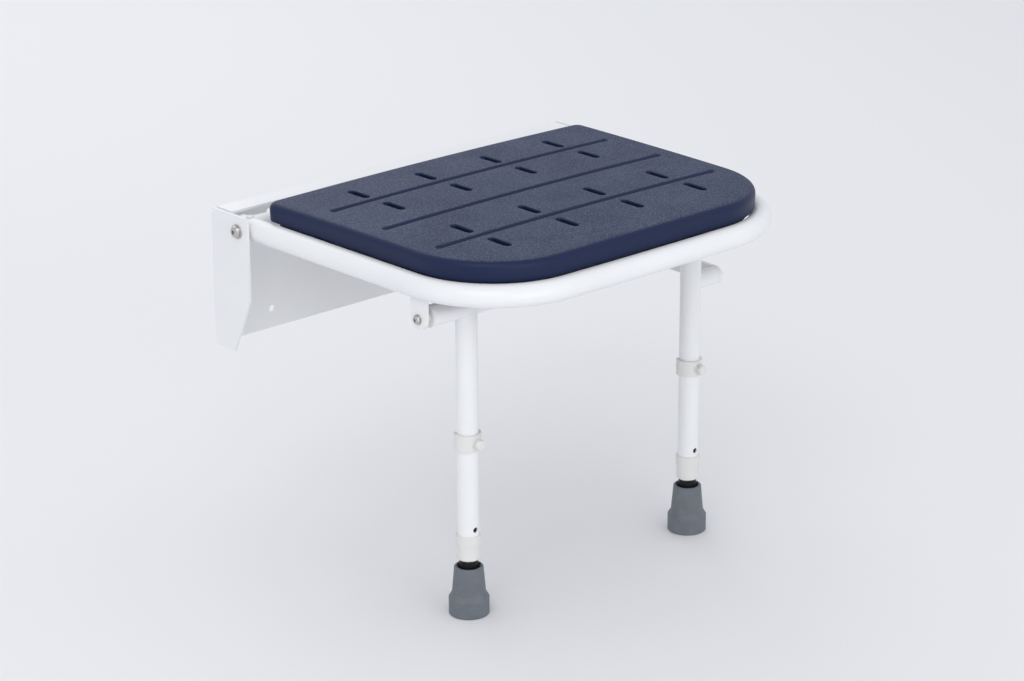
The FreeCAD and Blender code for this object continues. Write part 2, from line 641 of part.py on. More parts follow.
def slot_cutters(low, high):
    """Sixteen upright bars with round ends, where the drain slots go."""
    cutters = []
    straight = size.slot_length - size.slot_width
    for column in (-1.5, -0.5, 0.5, 1.5):
        for row in (size.slot_row_one, size.slot_row_two, size.slot_row_three, size.slot_row_four):
            x, y = column * size.slot_pitch, -size.pivot_setback - row
            box = Part.makeBox(size.slot_width, straight, high - low,
                               Vector(x - size.slot_width / 2, y - straight / 2, low))
            ends = [
                Part.makeCylinder(size.slot_width / 2, high - low, Vector(x, y + side * straight / 2, low))
                for side in (-1, 1)
            ]
            cutters.append(box.fuse(ends).removeSplitter())
    return cutters


def groove_cutters(crown):
    """Three long round bars, curved with the pad's crown and with ball ends, that press the grooves.

    `crown` is the middle of the ball that the pad's top lies on.
    """
    cutters = []
    for row in (size.groove_back, size.groove_middle, size.groove_front):
        middle = Vector(0, -size.pivot_setback - row, crown.z)
        ball = size.seat_top - crown.z
        reach = math.sqrt(ball**2 - (middle.y - crown.y) ** 2) + size.groove_bulb - size.groove_depth
        half_turn = (size.groove_length / 2 - size.groove_bulb) / reach
        across, up = math.sin(half_turn), math.cos(half_turn)
        ends = [middle + Vector(side * across, 0, up) * reach for side in (-1, 1)]
        section = Part.Circle(ends[0], Vector(up, 0, across), size.groove_bulb)
        face = Part.Face(Part.Wire(section.toShape()))
        bar = face.revolve(middle, Vector(0, 1, 0), math.degrees(2 * half_turn))
        cutters.append(bar.fuse([Part.makeSphere(size.groove_bulb, end) for end in ends]))
    return cutters


def seat_pad():
    """Moulded pad: crowned top, rounded edge, sixteen drain slots and three grooves."""
    under = size.seat_top - size.pad_thickness
    blank = plate(size.pad_inset, size.pad_back, under, size.pad_thickness, size.pad_rear_corner)
    half = size.frame_half_width - size.pad_inset
    radius = half * half / (2 * size.pad_crown)
    middle = -size.pivot_setback - (size.pad_back + size.frame_reach) / 2
    crown = Vector(0, middle, size.seat_top - radius)
    ball = Part.makeSphere(radius)
    ball.Placement = Placement(crown, Rotation(Vector(0, 1, 0), 90))
    crowned = blank.common(ball)
    top_face = max(crowned.Faces, key=lambda face: face.CenterOfMass.z)
    rims = [edge for edge in crowned.Edges if any(edge.isSame(rim) for rim in top_face.Edges)]
    soft = crowned.makeFillet(size.pad_edge, rims)
    lower = [e for e in soft.Edges if abs(e.BoundBox.ZMax - under) < 0.01 and e.BoundBox.ZLength < 0.01]
    soft = soft.makeFillet(size.pad_under_edge, lower)
    pressed = soft.cut(groove_cutters(crown))
    pierced = pressed.cut(slot_cutters(under - size.cut_spill, size.seat_top + size.cut_spill))
    sub_part(shaped("pad_shape", pierced), "seat_pad")


def seat_board():
    """Board under the pad, between the frame tubes, and the screws that hold it to the bars."""
    inset = size.frame_tube_dia / 2 + size.board_gap
    under = size.seat_top - size.pad_thickness - size.board_thickness
    rear = size.frame_tube_dia / 2 + size.board_gap + size.pad_inset
    board = plate(inset, rear, under, size.board_thickness, size.pad_rear_corner)
    board = board.cut(slot_cutters(under - size.cut_spill, under + size.board_thickness + size.cut_spill))
    base = shaped("board_blank", board)
    holes = screw_holes("strap_back", "board") + screw_holes("strap_front", "board")
    sub_part(cut("board_shape", base, *holes), "seat_base_board")
    screws = [
        button_bolt(f"pad_screw_{row}", "pad_screw_dia", "pad_screw_length", "pad_screw_head",
                    "pad_screw_rise", DOWN, "pad_screw_spread", f"{PIVOT_Y} - {row}",
                    f"{BOARD_UNDER} - strap_thickness")
        for row in ("strap_back", "strap_front")
    ]
    both = doc.addObject("Part::Compound", "pad_screws_right")
    both.Links = screws
    sub_part(pair("pad_screws_all", both), "pad_screws")


def cheek_bushes_and_bolts():
    """Flanged bushes in the cheeks and the bolts that the seat turns on."""
    bore = "(pivot_bolt_dia / 2 + running_gap)"
    depth = f"{BUSH_RIM} + bracket_gauge + face_gap"
    bush = turned("cheek_bush", (
        (bore, "0"), ("bush_flange / 2", "0"), ("bush_flange / 2", BUSH_RIM), ("bush_dia / 2", BUSH_RIM),
        ("bush_dia / 2", depth), (bore, depth),
    ), RIGHT, f"{INSERT_END} + face_gap", PIVOT_Y, "pivot_rise")
    sub_part(pair("cheek_bushes_pair", bush), "cheek_bushes")

    washer_x = "bracket_width / 2 + face_gap"
    washer = ring("pivot_washer_one", "pivot_washer_dia", "pivot_bolt_dia + 2 * running_gap",
                  "pivot_washer", RIGHT, washer_x, PIVOT_Y, "pivot_rise")
    sub_part(pair("pivot_washers_pair", washer), "seat_pivot_washers")
    length = f"{washer_x} + pivot_washer - {INSERT_END} + insert_depth + frame_tube_dia / 2"
    bolt = button_bolt("pivot_bolt", "pivot_bolt_dia", length, "pivot_bolt_head", "pivot_bolt_rise",
                       RIGHT, f"{washer_x} + pivot_washer", PIVOT_Y, "pivot_rise")
    sub_part(pair("pivot_bolts_pair", bolt), "seat_pivot_bolts")


def crossbar():
    """Tube that joins the legs, with the plugs, spacers, washers and bolts of the leg pivot."""
    tube = ring("crossbar_tube", "leg_dia", LEG_BORE, "crossbar_length", RIGHT,
                "-crossbar_length / 2", LEG_Y, LEG_Z)
    sub_part(tube, "leg_crossbar")
    bore = "(leg_bolt_dia / 2 + running_gap)"
    stem = f"({LEG_BORE} / 2 - running_gap)"
    plug = turned("crossbar_plug", (
        (bore, "-end_stem"), (stem, "-end_stem"), (stem, "0"), ("leg_dia / 2", "0"),
        ("leg_dia / 2", "end_rim - small_edge"), ("leg_dia / 2 - small_edge", "end_rim"), (bore, "end_rim"),
    ), RIGHT, "crossbar_length / 2", LEG_Y, LEG_Z)
    sub_part(pair("crossbar_plugs_pair", plug), "crossbar_end_plugs")

    spacer_x = "crossbar_length / 2 + end_rim"
    spacer = ring("leg_spacer", "spacer_dia", f"2 * {bore}",
                  f"lug_outer - lug_thickness - face_gap - ({spacer_x})", RIGHT, spacer_x, LEG_Y, LEG_Z)
    sub_part(pair("leg_spacers_pair", spacer), "leg_pivot_spacers")
    washer_x = "lug_outer + face_gap"
    washer = ring("leg_washer_one", "leg_washer_dia", f"2 * {bore}", "leg_washer", RIGHT,
                  washer_x, LEG_Y, LEG_Z)
    sub_part(pair("leg_washers_pair", washer), "leg_pivot_washers")
    length = f"{washer_x} + leg_washer - crossbar_length / 2 + end_stem"
    bolt = button_bolt("leg_bolt", "leg_bolt_dia", length, "leg_bolt_head", "leg_bolt_rise", RIGHT,
                       f"{washer_x} + leg_washer", LEG_Y, LEG_Z)
    sub_part(pair("leg_bolts_pair", bolt), "leg_pivot_bolts")


def both_sides(item, name):
    """One piece of the right leg and its mirror image on the left leg, each with its own name."""
    sub_part(item, f"right_{name}")
    sub_part(mirrored(f"left_{name}_shape", item), f"left_{name}")


def outer_legs():
    """Outer tubes under the crossbar, with their lower collars and clip rings."""
    foot = f"{COLLAR_FOOT} + collar_lip"
    length = f"{LEG_Z} - ({foot})"
    wall = rod("outer_leg_wall", "leg_dia", length, UP, LEG_X, LEG_Y, foot)
    bore = rod("outer_leg_bore", LEG_BORE, length, UP, LEG_X, LEG_Y, foot)
    saddle = rod("outer_leg_saddle", "leg_dia", "crossbar_length", RIGHT,
                 "-crossbar_length / 2", LEG_Y, LEG_Z)
    pin_hole = rod("outer_pin_hole", "pin_hole_dia", "leg_dia", FRONT, LEG_X, LEG_Y, PIN_Z)
    spare_hole = rod("outer_spare_hole", "pin_hole_dia", "leg_dia", FRONT, LEG_X, LEG_Y,
                     f"{FLOOR} + spare_hole_level")
    both_sides(cut("outer_leg_shape", wall, bore, saddle, pin_hole, spare_hole), "outer_leg")

    guide, grip = "(inner_dia / 2 + running_gap)", "(leg_dia / 2 + running_gap)"
    collar = turned("collar_shape", (
        (guide, "0"), ("collar_dia / 2 - collar_edge", "0"), ("collar_dia / 2", "collar_edge"),
        ("collar_dia / 2", "collar_length - collar_band"),
        ("collar_band_dia / 2", "collar_length - collar_band"),
        ("collar_band_dia / 2", "collar_length - small_edge"),
        ("collar_band_dia / 2 - small_edge", "collar_length"),
        (grip, "collar_length"), (grip, "collar_lip"), (guide, "collar_lip"),
    ), UP, LEG_X, LEG_Y, COLLAR_FOOT)
    both_sides(collar, "lower_collar")

    clip_foot = f"{PIN_Z} - clip_height / 2"
    hoop = rod("clip_hoop", "clip_dia", "clip_height", UP, LEG_X, LEG_Y, clip_foot)
    hoop.Placement = Placement(Vector(), Rotation(Vector(0, 0, 1), 90 + size.clip_opening / 2))
    bind(hoop, Angle="360 - clip_opening")
    boss = rod("clip_boss_bar", "clip_boss_dia", "clip_boss", FRONT, LEG_X, LEG_Y, PIN_Z)
    grip_bore = rod("clip_bore", f"2 * {grip}", "clip_height", UP, LEG_X, LEG_Y, clip_foot)
    pin_bore = rod("clip_pin_bore", "pin_dia + 2 * running_gap", "clip_dia", FRONT, LEG_X, LEG_Y, PIN_Z)
    clip = cut("clip_shape", join("clip_blank", hoop, boss), grip_bore, pin_bore)
    both_sides(clip, "leg_clip")


def lock_pins():
    """Steel pins through the clips into the inner tubes, and the knobs that pull them."""
    end = "clip_boss + face_gap + knob_socket"
    pin = turned("pin_shape", (
        ("0", "pin_tip"), ("pin_dia / 2 - small_edge", "pin_tip"), ("pin_dia / 2", "pin_tip + small_edge"),
        ("pin_dia / 2", end), ("0", end),
    ), FRONT, LEG_X, LEG_Y, PIN_Z)
    both_sides(pin, "lock_pin")
    hole = "(pin_dia / 2 + running_gap)"
    knob = turned("knob_shape", (
        (hole, "0"), ("knob_dia / 2 - small_edge", "0"), ("knob_dia / 2", "small_edge"),
        ("knob_dia / 2", "knob_rise - knob_dome"),
        ("knob_dia / 2 - knob_dome * 0.3", "knob_rise - knob_dome * 0.3"),
        ("knob_dia / 2 - knob_dome", "knob_rise"), ("0", "knob_rise"), ("0", "knob_socket"),
        (hole, "knob_socket"),
    ), FRONT, LEG_X, f"{LEG_Y} - clip_boss - face_gap", PIN_Z)
    both_sides(knob, "lock_knob")


def inner_legs():
    """Telescopic inner tubes with their row of holes, glides, rubber feet and foot washers."""
    foot = f"{FLOOR} + foot_floor + foot_washer"
    length = "pin_level + (hole_count - 1) * hole_pitch + inner_above - foot_floor - foot_washer"
    tube = ring("inner_tube_blank", "inner_dia", "inner_dia - 2 * inner_wall", length, UP, LEG_X, LEG_Y, foot)
    holes = [
        rod(f"inner_hole_{number}", "pin_hole_dia", "inner_dia", FRONT, LEG_X, LEG_Y,
            f"{PIN_Z} + {number} * hole_pitch")
        for number in range(int(size.hole_count))
    ]
    both_sides(cut("inner_tube_shape", tube, *holes), "inner_tube")

    stem = "(inner_dia / 2 - inner_wall - running_gap)"
    glide = turned("glide_shape", (
        ("0", "-glide_stem"), (stem, "-glide_stem"), (stem, "0"), ("glide_dia / 2", "0"),
        ("glide_dia / 2", "glide_rim - small_edge"), ("glide_dia / 2 - small_edge", "glide_rim"),
        ("0", "glide_rim"),
    ), UP, LEG_X, LEG_Y, f"{foot} + {length}")
    both_sides(glide, "tube_glide")

    grip = "(inner_dia / 2 + running_gap)"
    rubber = turned("foot_shape", (
        ("0", "0"), ("foot_base_dia / 2 - foot_edge", "0"), ("foot_base_dia / 2", "foot_edge"),
        ("foot_base_dia / 2", "foot_base"), ("foot_waist_dia / 2", "foot_waist"),
        ("foot_rim_dia / 2", "foot_height - foot_edge"), ("foot_rim_dia / 2 - foot_edge", "foot_height"),
        ("foot_mouth_dia / 2", "foot_height"), ("foot_mouth_dia / 2", "foot_height - foot_mouth"),
        (grip, "foot_height - foot_mouth - foot_edge"), (grip, "foot_floor"), ("0", "foot_floor"),
    ), UP, LEG_X, LEG_Y, FLOOR)
    both_sides(rubber, "rubber_foot")
    disc = rod("foot_washer_shape", "inner_dia", "foot_washer", UP, LEG_X, LEG_Y, f"{FLOOR} + foot_floor")
    both_sides(disc, "foot_washer")


def leg_stay():
    """Cranked strip from an ear on the bracket to a stub on the right leg; it keeps the legs upright."""
    stub_end = "stay_inner - face_gap"
    stub = ring("stub_tube", "stub_dia", "stub_dia - 2 * stub_wall", f"{stub_end} - {LEG_X}", RIGHT,
                LEG_X, LEG_Y, STUB_Z)
    leg = rod("stub_saddle", "leg_dia", "3 * stub_dia", UP, LEG_X, LEG_Y, f"{STUB_Z} - 1.5 * stub_dia")
    sub_part(cut("stub_shape", stub, leg), "stay_stub")
    thread = "stay_bolt_dia + 2 * running_gap"
    plug = ring("stub_plug_shape", "stub_dia - 2 * stub_wall - 2 * running_gap", thread, "stub_plug", RIGHT,
                f"{stub_end} - stub_plug", LEG_Y, STUB_Z)
    sub_part(plug, "stay_stub_plug")

    line = ((LEG_Y, STUB_Z), ("-pivot_setback - stay_crank", STUB_Z), (PIVOT_Y, EAR_Z))
    blank = strip("stay_blank", line, "stay_width", "stay_thickness", "stay_inner")
    span = ("3 * stay_thickness", RIGHT, "stay_inner - stay_thickness")
    front_eye = rod("stay_front_eye", "stay_bolt_dia + 2 * face_gap", *span, LEG_Y, STUB_Z)
    rear_eye = rod("stay_rear_eye", thread, *span, PIVOT_Y, EAR_Z)
    sub_part(cut("stay_shape", blank, front_eye, rear_eye), "leg_stay")

    front_washer = ring("front_washer", "stay_washer_dia", thread, "stay_washer", RIGHT,
                        f"{STAY_OUTER} + face_gap", LEG_Y, STUB_Z)
    sub_part(front_washer, "stay_front_washer")
    front_bolt = button_bolt(
        "front_bolt", "stay_bolt_dia", "stay_washer + stay_thickness + 2 * face_gap + stub_plug",
        "stay_bolt_head", "stay_bolt_rise", RIGHT, f"{STAY_OUTER} + face_gap + stay_washer", LEG_Y, STUB_Z)
    sub_part(front_bolt, "stay_front_bolt")

    rear_washers = doc.addObject("Part::Compound", "rear_washers")
    rear_washers.Links = [
        ring(f"rear_washer_{place_name}", "stay_washer_dia", thread, "stay_washer", RIGHT, x, PIVOT_Y, EAR_Z)
        for place_name, x in (("inner", "stay_inner - face_gap - stay_washer"),
                              ("outer", f"{STAY_OUTER} + face_gap"))
    ]
    sub_part(rear_washers, "stay_rear_washers")
    left = Rotation(Vector(0, 0, 1), Vector(-1, 0, 0))
    reach = "2 * stay_washer + 2 * face_gap + stay_thickness + ear_gauge + nut_height + thread_end"
    rear_bolt = button_bolt("rear_bolt", "stay_bolt_dia", reach, "stay_bolt_head", "stay_bolt_rise", left,
                            "stay_inner - face_gap - stay_washer", PIVOT_Y, EAR_Z)
    sub_part(rear_bolt, "stay_rear_bolt")
    hexagon = doc.addObject("Part::Prism", "rear_nut_blank")
    hexagon.Polygon = 6
    bind(hexagon, Circumradius="nut_across / 2", Height="nut_height")
    place(hexagon, RIGHT, f"{EAR_X} + ear_gauge", PIVOT_Y, EAR_Z)
    nut_thread = rod("rear_nut_thread", thread, "nut_height", RIGHT, f"{EAR_X} + ear_gauge", PIVOT_Y, EAR_Z)
    sub_part(cut("rear_nut", hexagon, nut_thread), "stay_rear_nut")

    outline = doc.addObject("Sketcher::SketchObject", "ear_outline")
    draw(outline, (
        ("-bracket_gauge", f"{EAR_Z} + ear_root / 2"), ("-bracket_gauge", f"{EAR_Z} - ear_root / 2"),
        (PIVOT_Y, f"{EAR_Z} - ear_radius"), (PIVOT_Y, f"{EAR_Z} + ear_radius"),
    ))
    web = doc.addObject("Part::Extrusion", "ear_web")
    web.Base = outline
    web.DirMode = "Custom"
    web.Dir = Vector(0, 0, 1)
    web.Solid = True
    bind(web, LengthFwd="ear_gauge")
    place(web, SIDE_VIEW, EAR_X)
    tip = rod("ear_tip", "2 * ear_radius", "ear_gauge", RIGHT, EAR_X, PIVOT_Y, EAR_Z)
    eye = rod("ear_eye", thread, "ear_gauge", RIGHT, EAR_X, PIVOT_Y, EAR_Z)
    sub_part(cut("ear_shape", join("ear_blank", web, tip), eye), "stay_ear")


def check_and_write():
    """Stop on any failed object, then write each finished piece to its own file."""
    doc.recompute()
    for item in doc.Objects:
        if "Invalid" in item.State or "Error" in item.State:
            raise RuntimeError(f"{item.Name} failed: {item.State}")
    os.makedirs("parts", exist_ok=True)
    for item in NODES:
        if item.Shape.isNull() or not item.Shape.isValid():
            raise RuntimeError(f"{item.Label} has no valid shape")
        item.Shape.exportStep(f"parts/{item.Label}.step")


wall_bracket()
seat_frame()
seat_pad()
seat_board()
cheek_bushes_and_bolts()
crossbar()
outer_legs()
lock_pins()
inner_legs()
leg_stay()
check_and_write()
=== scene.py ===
"""The fold-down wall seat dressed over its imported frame.

Metres throughout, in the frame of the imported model: X runs along the wall, Y into it, Z up, and
the origin is the middle of the wall bracket's back face.
"""

import logging
import math
from collections.abc import Iterable, Sequence
from dataclasses import dataclass, field
from enum import Enum
from typing import TypeVar

import bpy
from mathutils import Matrix, Vector
from mathutils.geometry import delaunay_2d_cdt


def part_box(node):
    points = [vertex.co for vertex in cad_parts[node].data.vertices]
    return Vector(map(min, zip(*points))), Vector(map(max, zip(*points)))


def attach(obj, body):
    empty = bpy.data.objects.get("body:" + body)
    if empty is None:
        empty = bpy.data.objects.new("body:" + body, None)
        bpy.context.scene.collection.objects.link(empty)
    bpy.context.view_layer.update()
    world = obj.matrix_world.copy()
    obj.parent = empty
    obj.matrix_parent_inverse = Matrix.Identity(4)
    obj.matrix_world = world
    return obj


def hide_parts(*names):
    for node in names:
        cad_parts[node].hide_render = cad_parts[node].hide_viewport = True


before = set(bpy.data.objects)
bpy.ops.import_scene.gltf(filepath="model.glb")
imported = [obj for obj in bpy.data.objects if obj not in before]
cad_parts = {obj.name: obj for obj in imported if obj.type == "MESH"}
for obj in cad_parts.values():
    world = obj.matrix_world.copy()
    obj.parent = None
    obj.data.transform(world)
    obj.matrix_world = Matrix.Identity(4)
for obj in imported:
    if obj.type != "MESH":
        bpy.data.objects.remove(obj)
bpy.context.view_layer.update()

log = logging.getLogger("wall_seat")
MM = 0.001
FLOOR_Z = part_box("right_rubber_foot")[0].z
SAME_POINT = 1e-7
RIGHT_ANGLE = math.pi / 2

# A Mix node's colour sockets go by number, because its other kinds share their names.
MIX_FIRST, MIX_SECOND, MIX_RESULT = 6, 7, 2

Item = TypeVar("Item")
Point = tuple[float, float]
Spot = tuple[float, float, float]
Colour = tuple[float, float, float]
Span = tuple[float, float]
Stops = tuple[Point, ...]
Outline = list[tuple[Point, Point]]


class MathOp(Enum):
    """Operations of a Math node."""

    ADD = "ADD"
    SUBTRACT = "SUBTRACT"
    MULTIPLY = "MULTIPLY"
    MAXIMUM = "MAXIMUM"
    MINIMUM = "MINIMUM"


class Value:
    """One number on a shader socket, ready for ordinary arithmetic."""

    def __init__(self, sheet: "NodeWriter", socket: bpy.types.NodeSocket) -> None:
        """Keeps an output socket and the writer of the node tree that it is in."""
        self.sheet = sheet
        self.socket = socket

    def _calculated(
            self, operation: MathOp, first: "Value | float", second: "Value | float") -> "Value":
        """A Math node on two numbers.

        Args:
            operation: what the node does.
            first: the left-hand number.
            second: the right-hand number.

        Returns:
            The node's result.
        """
        settings = {"operation": operation.value}
        node = self.sheet.node("ShaderNodeMath", settings, {0: first, 1: second})
        return Value(self.sheet, node.outputs[0])

    def __add__(self, other: "Value | float") -> "Value":
        """self + other."""
        return self._calculated(MathOp.ADD, self, other)

    __radd__ = __add__

    def __mul__(self, other: "Value | float") -> "Value":
        """self * other."""
        return self._calculated(MathOp.MULTIPLY, self, other)

    __rmul__ = __mul__

    def __sub__(self, other: "Value | float") -> "Value":
        """self - other."""
        return self._calculated(MathOp.SUBTRACT, self, other)

    def __rsub__(self, other: "Value | float") -> "Value":
        """other - self."""
        return self._calculated(MathOp.SUBTRACT, other, self)

    def held(self, low: float, high: float) -> "Value":
        """The value kept between two limits."""
        raised = self._calculated(MathOp.MAXIMUM, self, low)
        return self._calculated(MathOp.MINIMUM, raised, high)

    def across(self, span: Span) -> "Value":
        """The value, which runs from 0 to 1, stretched over a span."""
        return self * (span[1] - span[0]) + span[0]

    def blended(self, other: "Value", share: float) -> "Value":
        """The value with a share of another in its place."""
        return self * (1.0 - share) + other * share


class NodeWriter:
    """Writes nodes into one node tree."""

    def __init__(self, tree: bpy.types.NodeTree) -> None:
        """Empties the node tree of a material or of the world."""
        self.tree = tree
        self.tree.nodes.clear()

    def node(self, kind: str, settings: dict[str, object],
             inputs: dict[int | str, object]) -> bpy.types.Node:
        """Any node, with its settings made first and then its sockets.

        Args:
            kind: the node's Blender type.
            settings: its attributes; "stops" holds a colour ramp's positions and greys.
            inputs: socket name or number to a number, colour, Value or socket.

        Returns:
            The new node.
        """
        made = self.tree.nodes.new(kind)
        for key, setting in settings.items():
            if key == "stops":
                self._ramp(made, setting)
            else:
                setattr(made, key, setting)
        for key, given in inputs.items():
            if isinstance(given, Value):
                given = given.socket
            if isinstance(given, bpy.types.NodeSocket):
                self.tree.links.new(given, made.inputs[key])
            else:
                made.inputs[key].default_value = given
        return made

    @staticmethod
    def _ramp(made: bpy.types.Node, stops: Stops) -> None:
        """Sets a ramp's two stops.

        Args:
            made: a Color Ramp node.
            stops: pairs of position and grey.
        """
        for element, (spot, grey) in zip(made.color_ramp.elements, stops, strict=True):
            element.position = spot
            element.color = (grey, grey, grey, 1.0)


class NodeSheet(NodeWriter):
    """A material's node tree and the ways that the finishes write on it."""

    def __init__(self, name: str) -> None:
        """Starts an empty material.

        Args:
            name: the material's name.
        """
        self.material = bpy.data.materials.new(name)
        self.material.use_nodes = True
        super().__init__(self.material.node_tree)

    def place(self) -> bpy.types.NodeSocket:
        """The surface's own coordinates, in metres."""
        return self.node("ShaderNodeTexCoord", {}, {}).outputs["Object"]

    def facing_up(self) -> Value:
        """How much the surface faces up, from -1 to 1."""
        normal = self.node("ShaderNodeNewGeometry", {}, {}).outputs["Normal"]
        return Value(self, self.node("ShaderNodeSeparateXYZ", {}, {"Vector": normal}).outputs["Z"])

    def noise(self, scale: float, detail: float = 2.0, roughness: float = 0.5) -> Value:
        """Soft noise from 0 to 1; scale counts its features on a metre, detail its octaves."""
        inputs = {"Vector": self.place(), "Scale": scale, "Detail": detail, "Roughness": roughness}
        return Value(self, self.node("ShaderNodeTexNoise", {}, inputs).outputs[0])

    def cells(self, scale: float) -> Value:
        """Distance, about 0 to 1, to the nearest of scattered points, scale of them on a metre."""
        inputs = {"Vector": self.place(), "Scale": scale}
        return Value(self, self.node("ShaderNodeTexVoronoi", {}, inputs).outputs["Distance"])

    def shaped(self, value: Value, stops: Stops) -> Value:
        """A value sent through a ramp between two stops, pairs of position and result."""
        ramp = self.node("ShaderNodeValToRGB", {"stops": stops}, {"Fac": value})
        return Value(self, ramp.outputs[0])

    def between(self, first: Colour, second: Colour, amount: Value) -> bpy.types.NodeSocket:
        """A colour that goes from the first to the second as the amount goes from 0 to 1."""
        inputs = {0: amount, MIX_FIRST: (*first, 1.0), MIX_SECOND: (*second, 1.0)}
        return self.node("ShaderNodeMix", {"data_type": "RGBA"}, inputs).outputs[MIX_RESULT]

    def bump(self, height: Value, strength: float, distance: float) -> bpy.types.NodeSocket:
        """A normal that follows a height of 0 to 1; distance is its real depth in metres."""
        inputs = {"Strength": strength, "Distance": distance, "Height": height}
        return self.node("ShaderNodeBump", {}, inputs).outputs["Normal"]

    def surface(self, **sockets: object) -> bpy.types.Material:
        """Ends the material in a Principled surface.

        Args:
            **sockets: socket names with underscores for spaces, and what they get.

        Returns:
            The finished material.
        """
        inputs = {key.replace("_", " "): given for key, given in sockets.items()}
        shader = self.node("ShaderNodeBsdfPrincipled", {}, inputs)
        self.node("ShaderNodeOutputMaterial", {}, {"Surface": shader.outputs[0]})
        return self.material


@dataclass(frozen=True)
class PowderCoat:
    """Gloss white powder coat on steel, with its faint orange peel."""

    name: str = "white_powder_coat"
    colour: Colour = (0.88, 0.885, 0.893)
    shade: Colour = (0.85, 0.856, 0.866)
    cloud_scale: float = 9.0
    cloud_stops: Stops = ((0.35, 0.0), (0.7, 1.0))
    roughness: Span = (0.30, 0.38)
    smear_scale: float = 60.0
    peel_scale: float = 800.0
    fine_scale: float = 2300.0
    fine_share: float = 0.3
    peel_height: float = 0.015 * MM
    peel_strength: float = 0.6
    coat: float = 0.2
    coat_roughness: float = 0.12

    def material(self) -> bpy.types.Material:
        """Builds the finish.

        Returns:
            The material.
        """
        sheet = NodeSheet(self.name)
        cloud = sheet.shaped(sheet.noise(self.cloud_scale, detail=3.0), self.cloud_stops)
        fine = sheet.noise(self.fine_scale, detail=1.0)
        peel = sheet.noise(self.peel_scale).blended(fine, self.fine_share)
        return sheet.surface(
            Base_Color=sheet.between(self.colour, self.shade, cloud),
            Roughness=sheet.noise(self.smear_scale).across(self.roughness),
            Coat_Weight=self.coat,
            Coat_Roughness=self.coat_roughness,
            Normal=sheet.bump(peel, self.peel_strength, self.peel_height),
        )


@dataclass(frozen=True)
class MouldedFoam:
    """Navy moulded polyurethane with a skin: pebbled on top, smoother down its sides. Its upward
    faces are painted lighter towards a pale tint, most on the pebbles, as painted sheen.
    """

    name: str = "navy_moulded_foam"
    colour: Colour = (0.005, 0.014, 0.058)
    # Pale tint that the upward faces are blended towards: painted sheen.
    sheen_tint: Colour = (0.092, 0.118, 0.186)
    gloss: float = 0.28
    top_stops: Stops = ((0.86, 0.0), (0.99, 1.0))
    pebble_scale: float = 430.0
    pebble_stops: Stops = ((0.12, 0.0), (0.5, 1.0))
    # Weights of the pebbles, the fine noise and the cloud in the painted sheen on the top.
    pebble_sheen: float = 0.9
    fine_scale: float = 1900.0
    fine_share: float = 0.3
    fine_sheen: float = 0.15
    cloud_scale: float = 14.0
    cloud_stops: Stops = ((0.35, 0.0), (0.68, 1.0))
    cloud_tone: float = 0.2
    roughness: float = 0.42
    top_roughness: float = 0.12
    smear_scale: float = 90.0
    smear_roughness: float = 0.06
    relief: Span = (0.2, 1.0)
    relief_height: float = 0.35 * MM
    relief_strength: float = 0.9

    def material(self) -> bpy.types.Material:
        """Builds the finish.

        Returns:
            The material.
        """
        sheet = NodeSheet(self.name)
        top = sheet.shaped(sheet.facing_up(), self.top_stops)
        pebbles = 1.0 - sheet.shaped(sheet.cells(self.pebble_scale), self.pebble_stops)
        fine = sheet.noise(self.fine_scale, roughness=0.6)
        cloud = sheet.noise(self.cloud_scale, detail=4.0, roughness=0.6)
        cloud = sheet.shaped(cloud, self.cloud_stops)
        # Painted sheen: the upward faces are lightened towards the pale tint, most on the pebbles and
        # the fine noise, with a random cloudy tone mixed in; the sides keep the dark base colour.
        sheen_and_tone = cloud * self.cloud_tone + pebbles * self.pebble_sheen + fine * self.fine_sheen
        smear = sheet.noise(self.smear_scale) * self.smear_roughness
        relief = pebbles.blended(fine, self.fine_share) * top.across(self.relief)
        return sheet.surface(
            Base_Color=sheet.between(self.colour, self.sheen_tint, sheen_and_tone * top),
            Roughness=top * self.top_roughness + smear + self.roughness,
            Specular_IOR_Level=self.gloss,
            Normal=sheet.bump(relief, self.relief_strength, self.relief_height),
        )


@dataclass(frozen=True)
class Plastic:
    """Injection-moulded plastic with a fine spark-eroded grain."""

    name: str
    colour: Colour
    shade: Colour
    cloud_scale: float = 35.0
    roughness: Span = (0.37, 0.47)
    smear_scale: float = 150.0
    grain_scale: float = 2600.0
    grain_height: float = 0.03 * MM
    grain_strength: float = 0.6

    def material(self) -> bpy.types.Material:
        """Builds the finish.

        Returns:
            The material.
        """
        sheet = NodeSheet(self.name)
        cloud = sheet.noise(self.cloud_scale, detail=3.0)
        grain = sheet.noise(self.grain_scale)
        return sheet.surface(
            Base_Color=sheet.between(self.colour, self.shade, cloud),
            Roughness=sheet.noise(self.smear_scale).across(self.roughness),
            Normal=sheet.bump(grain, self.grain_strength, self.grain_height),
        )


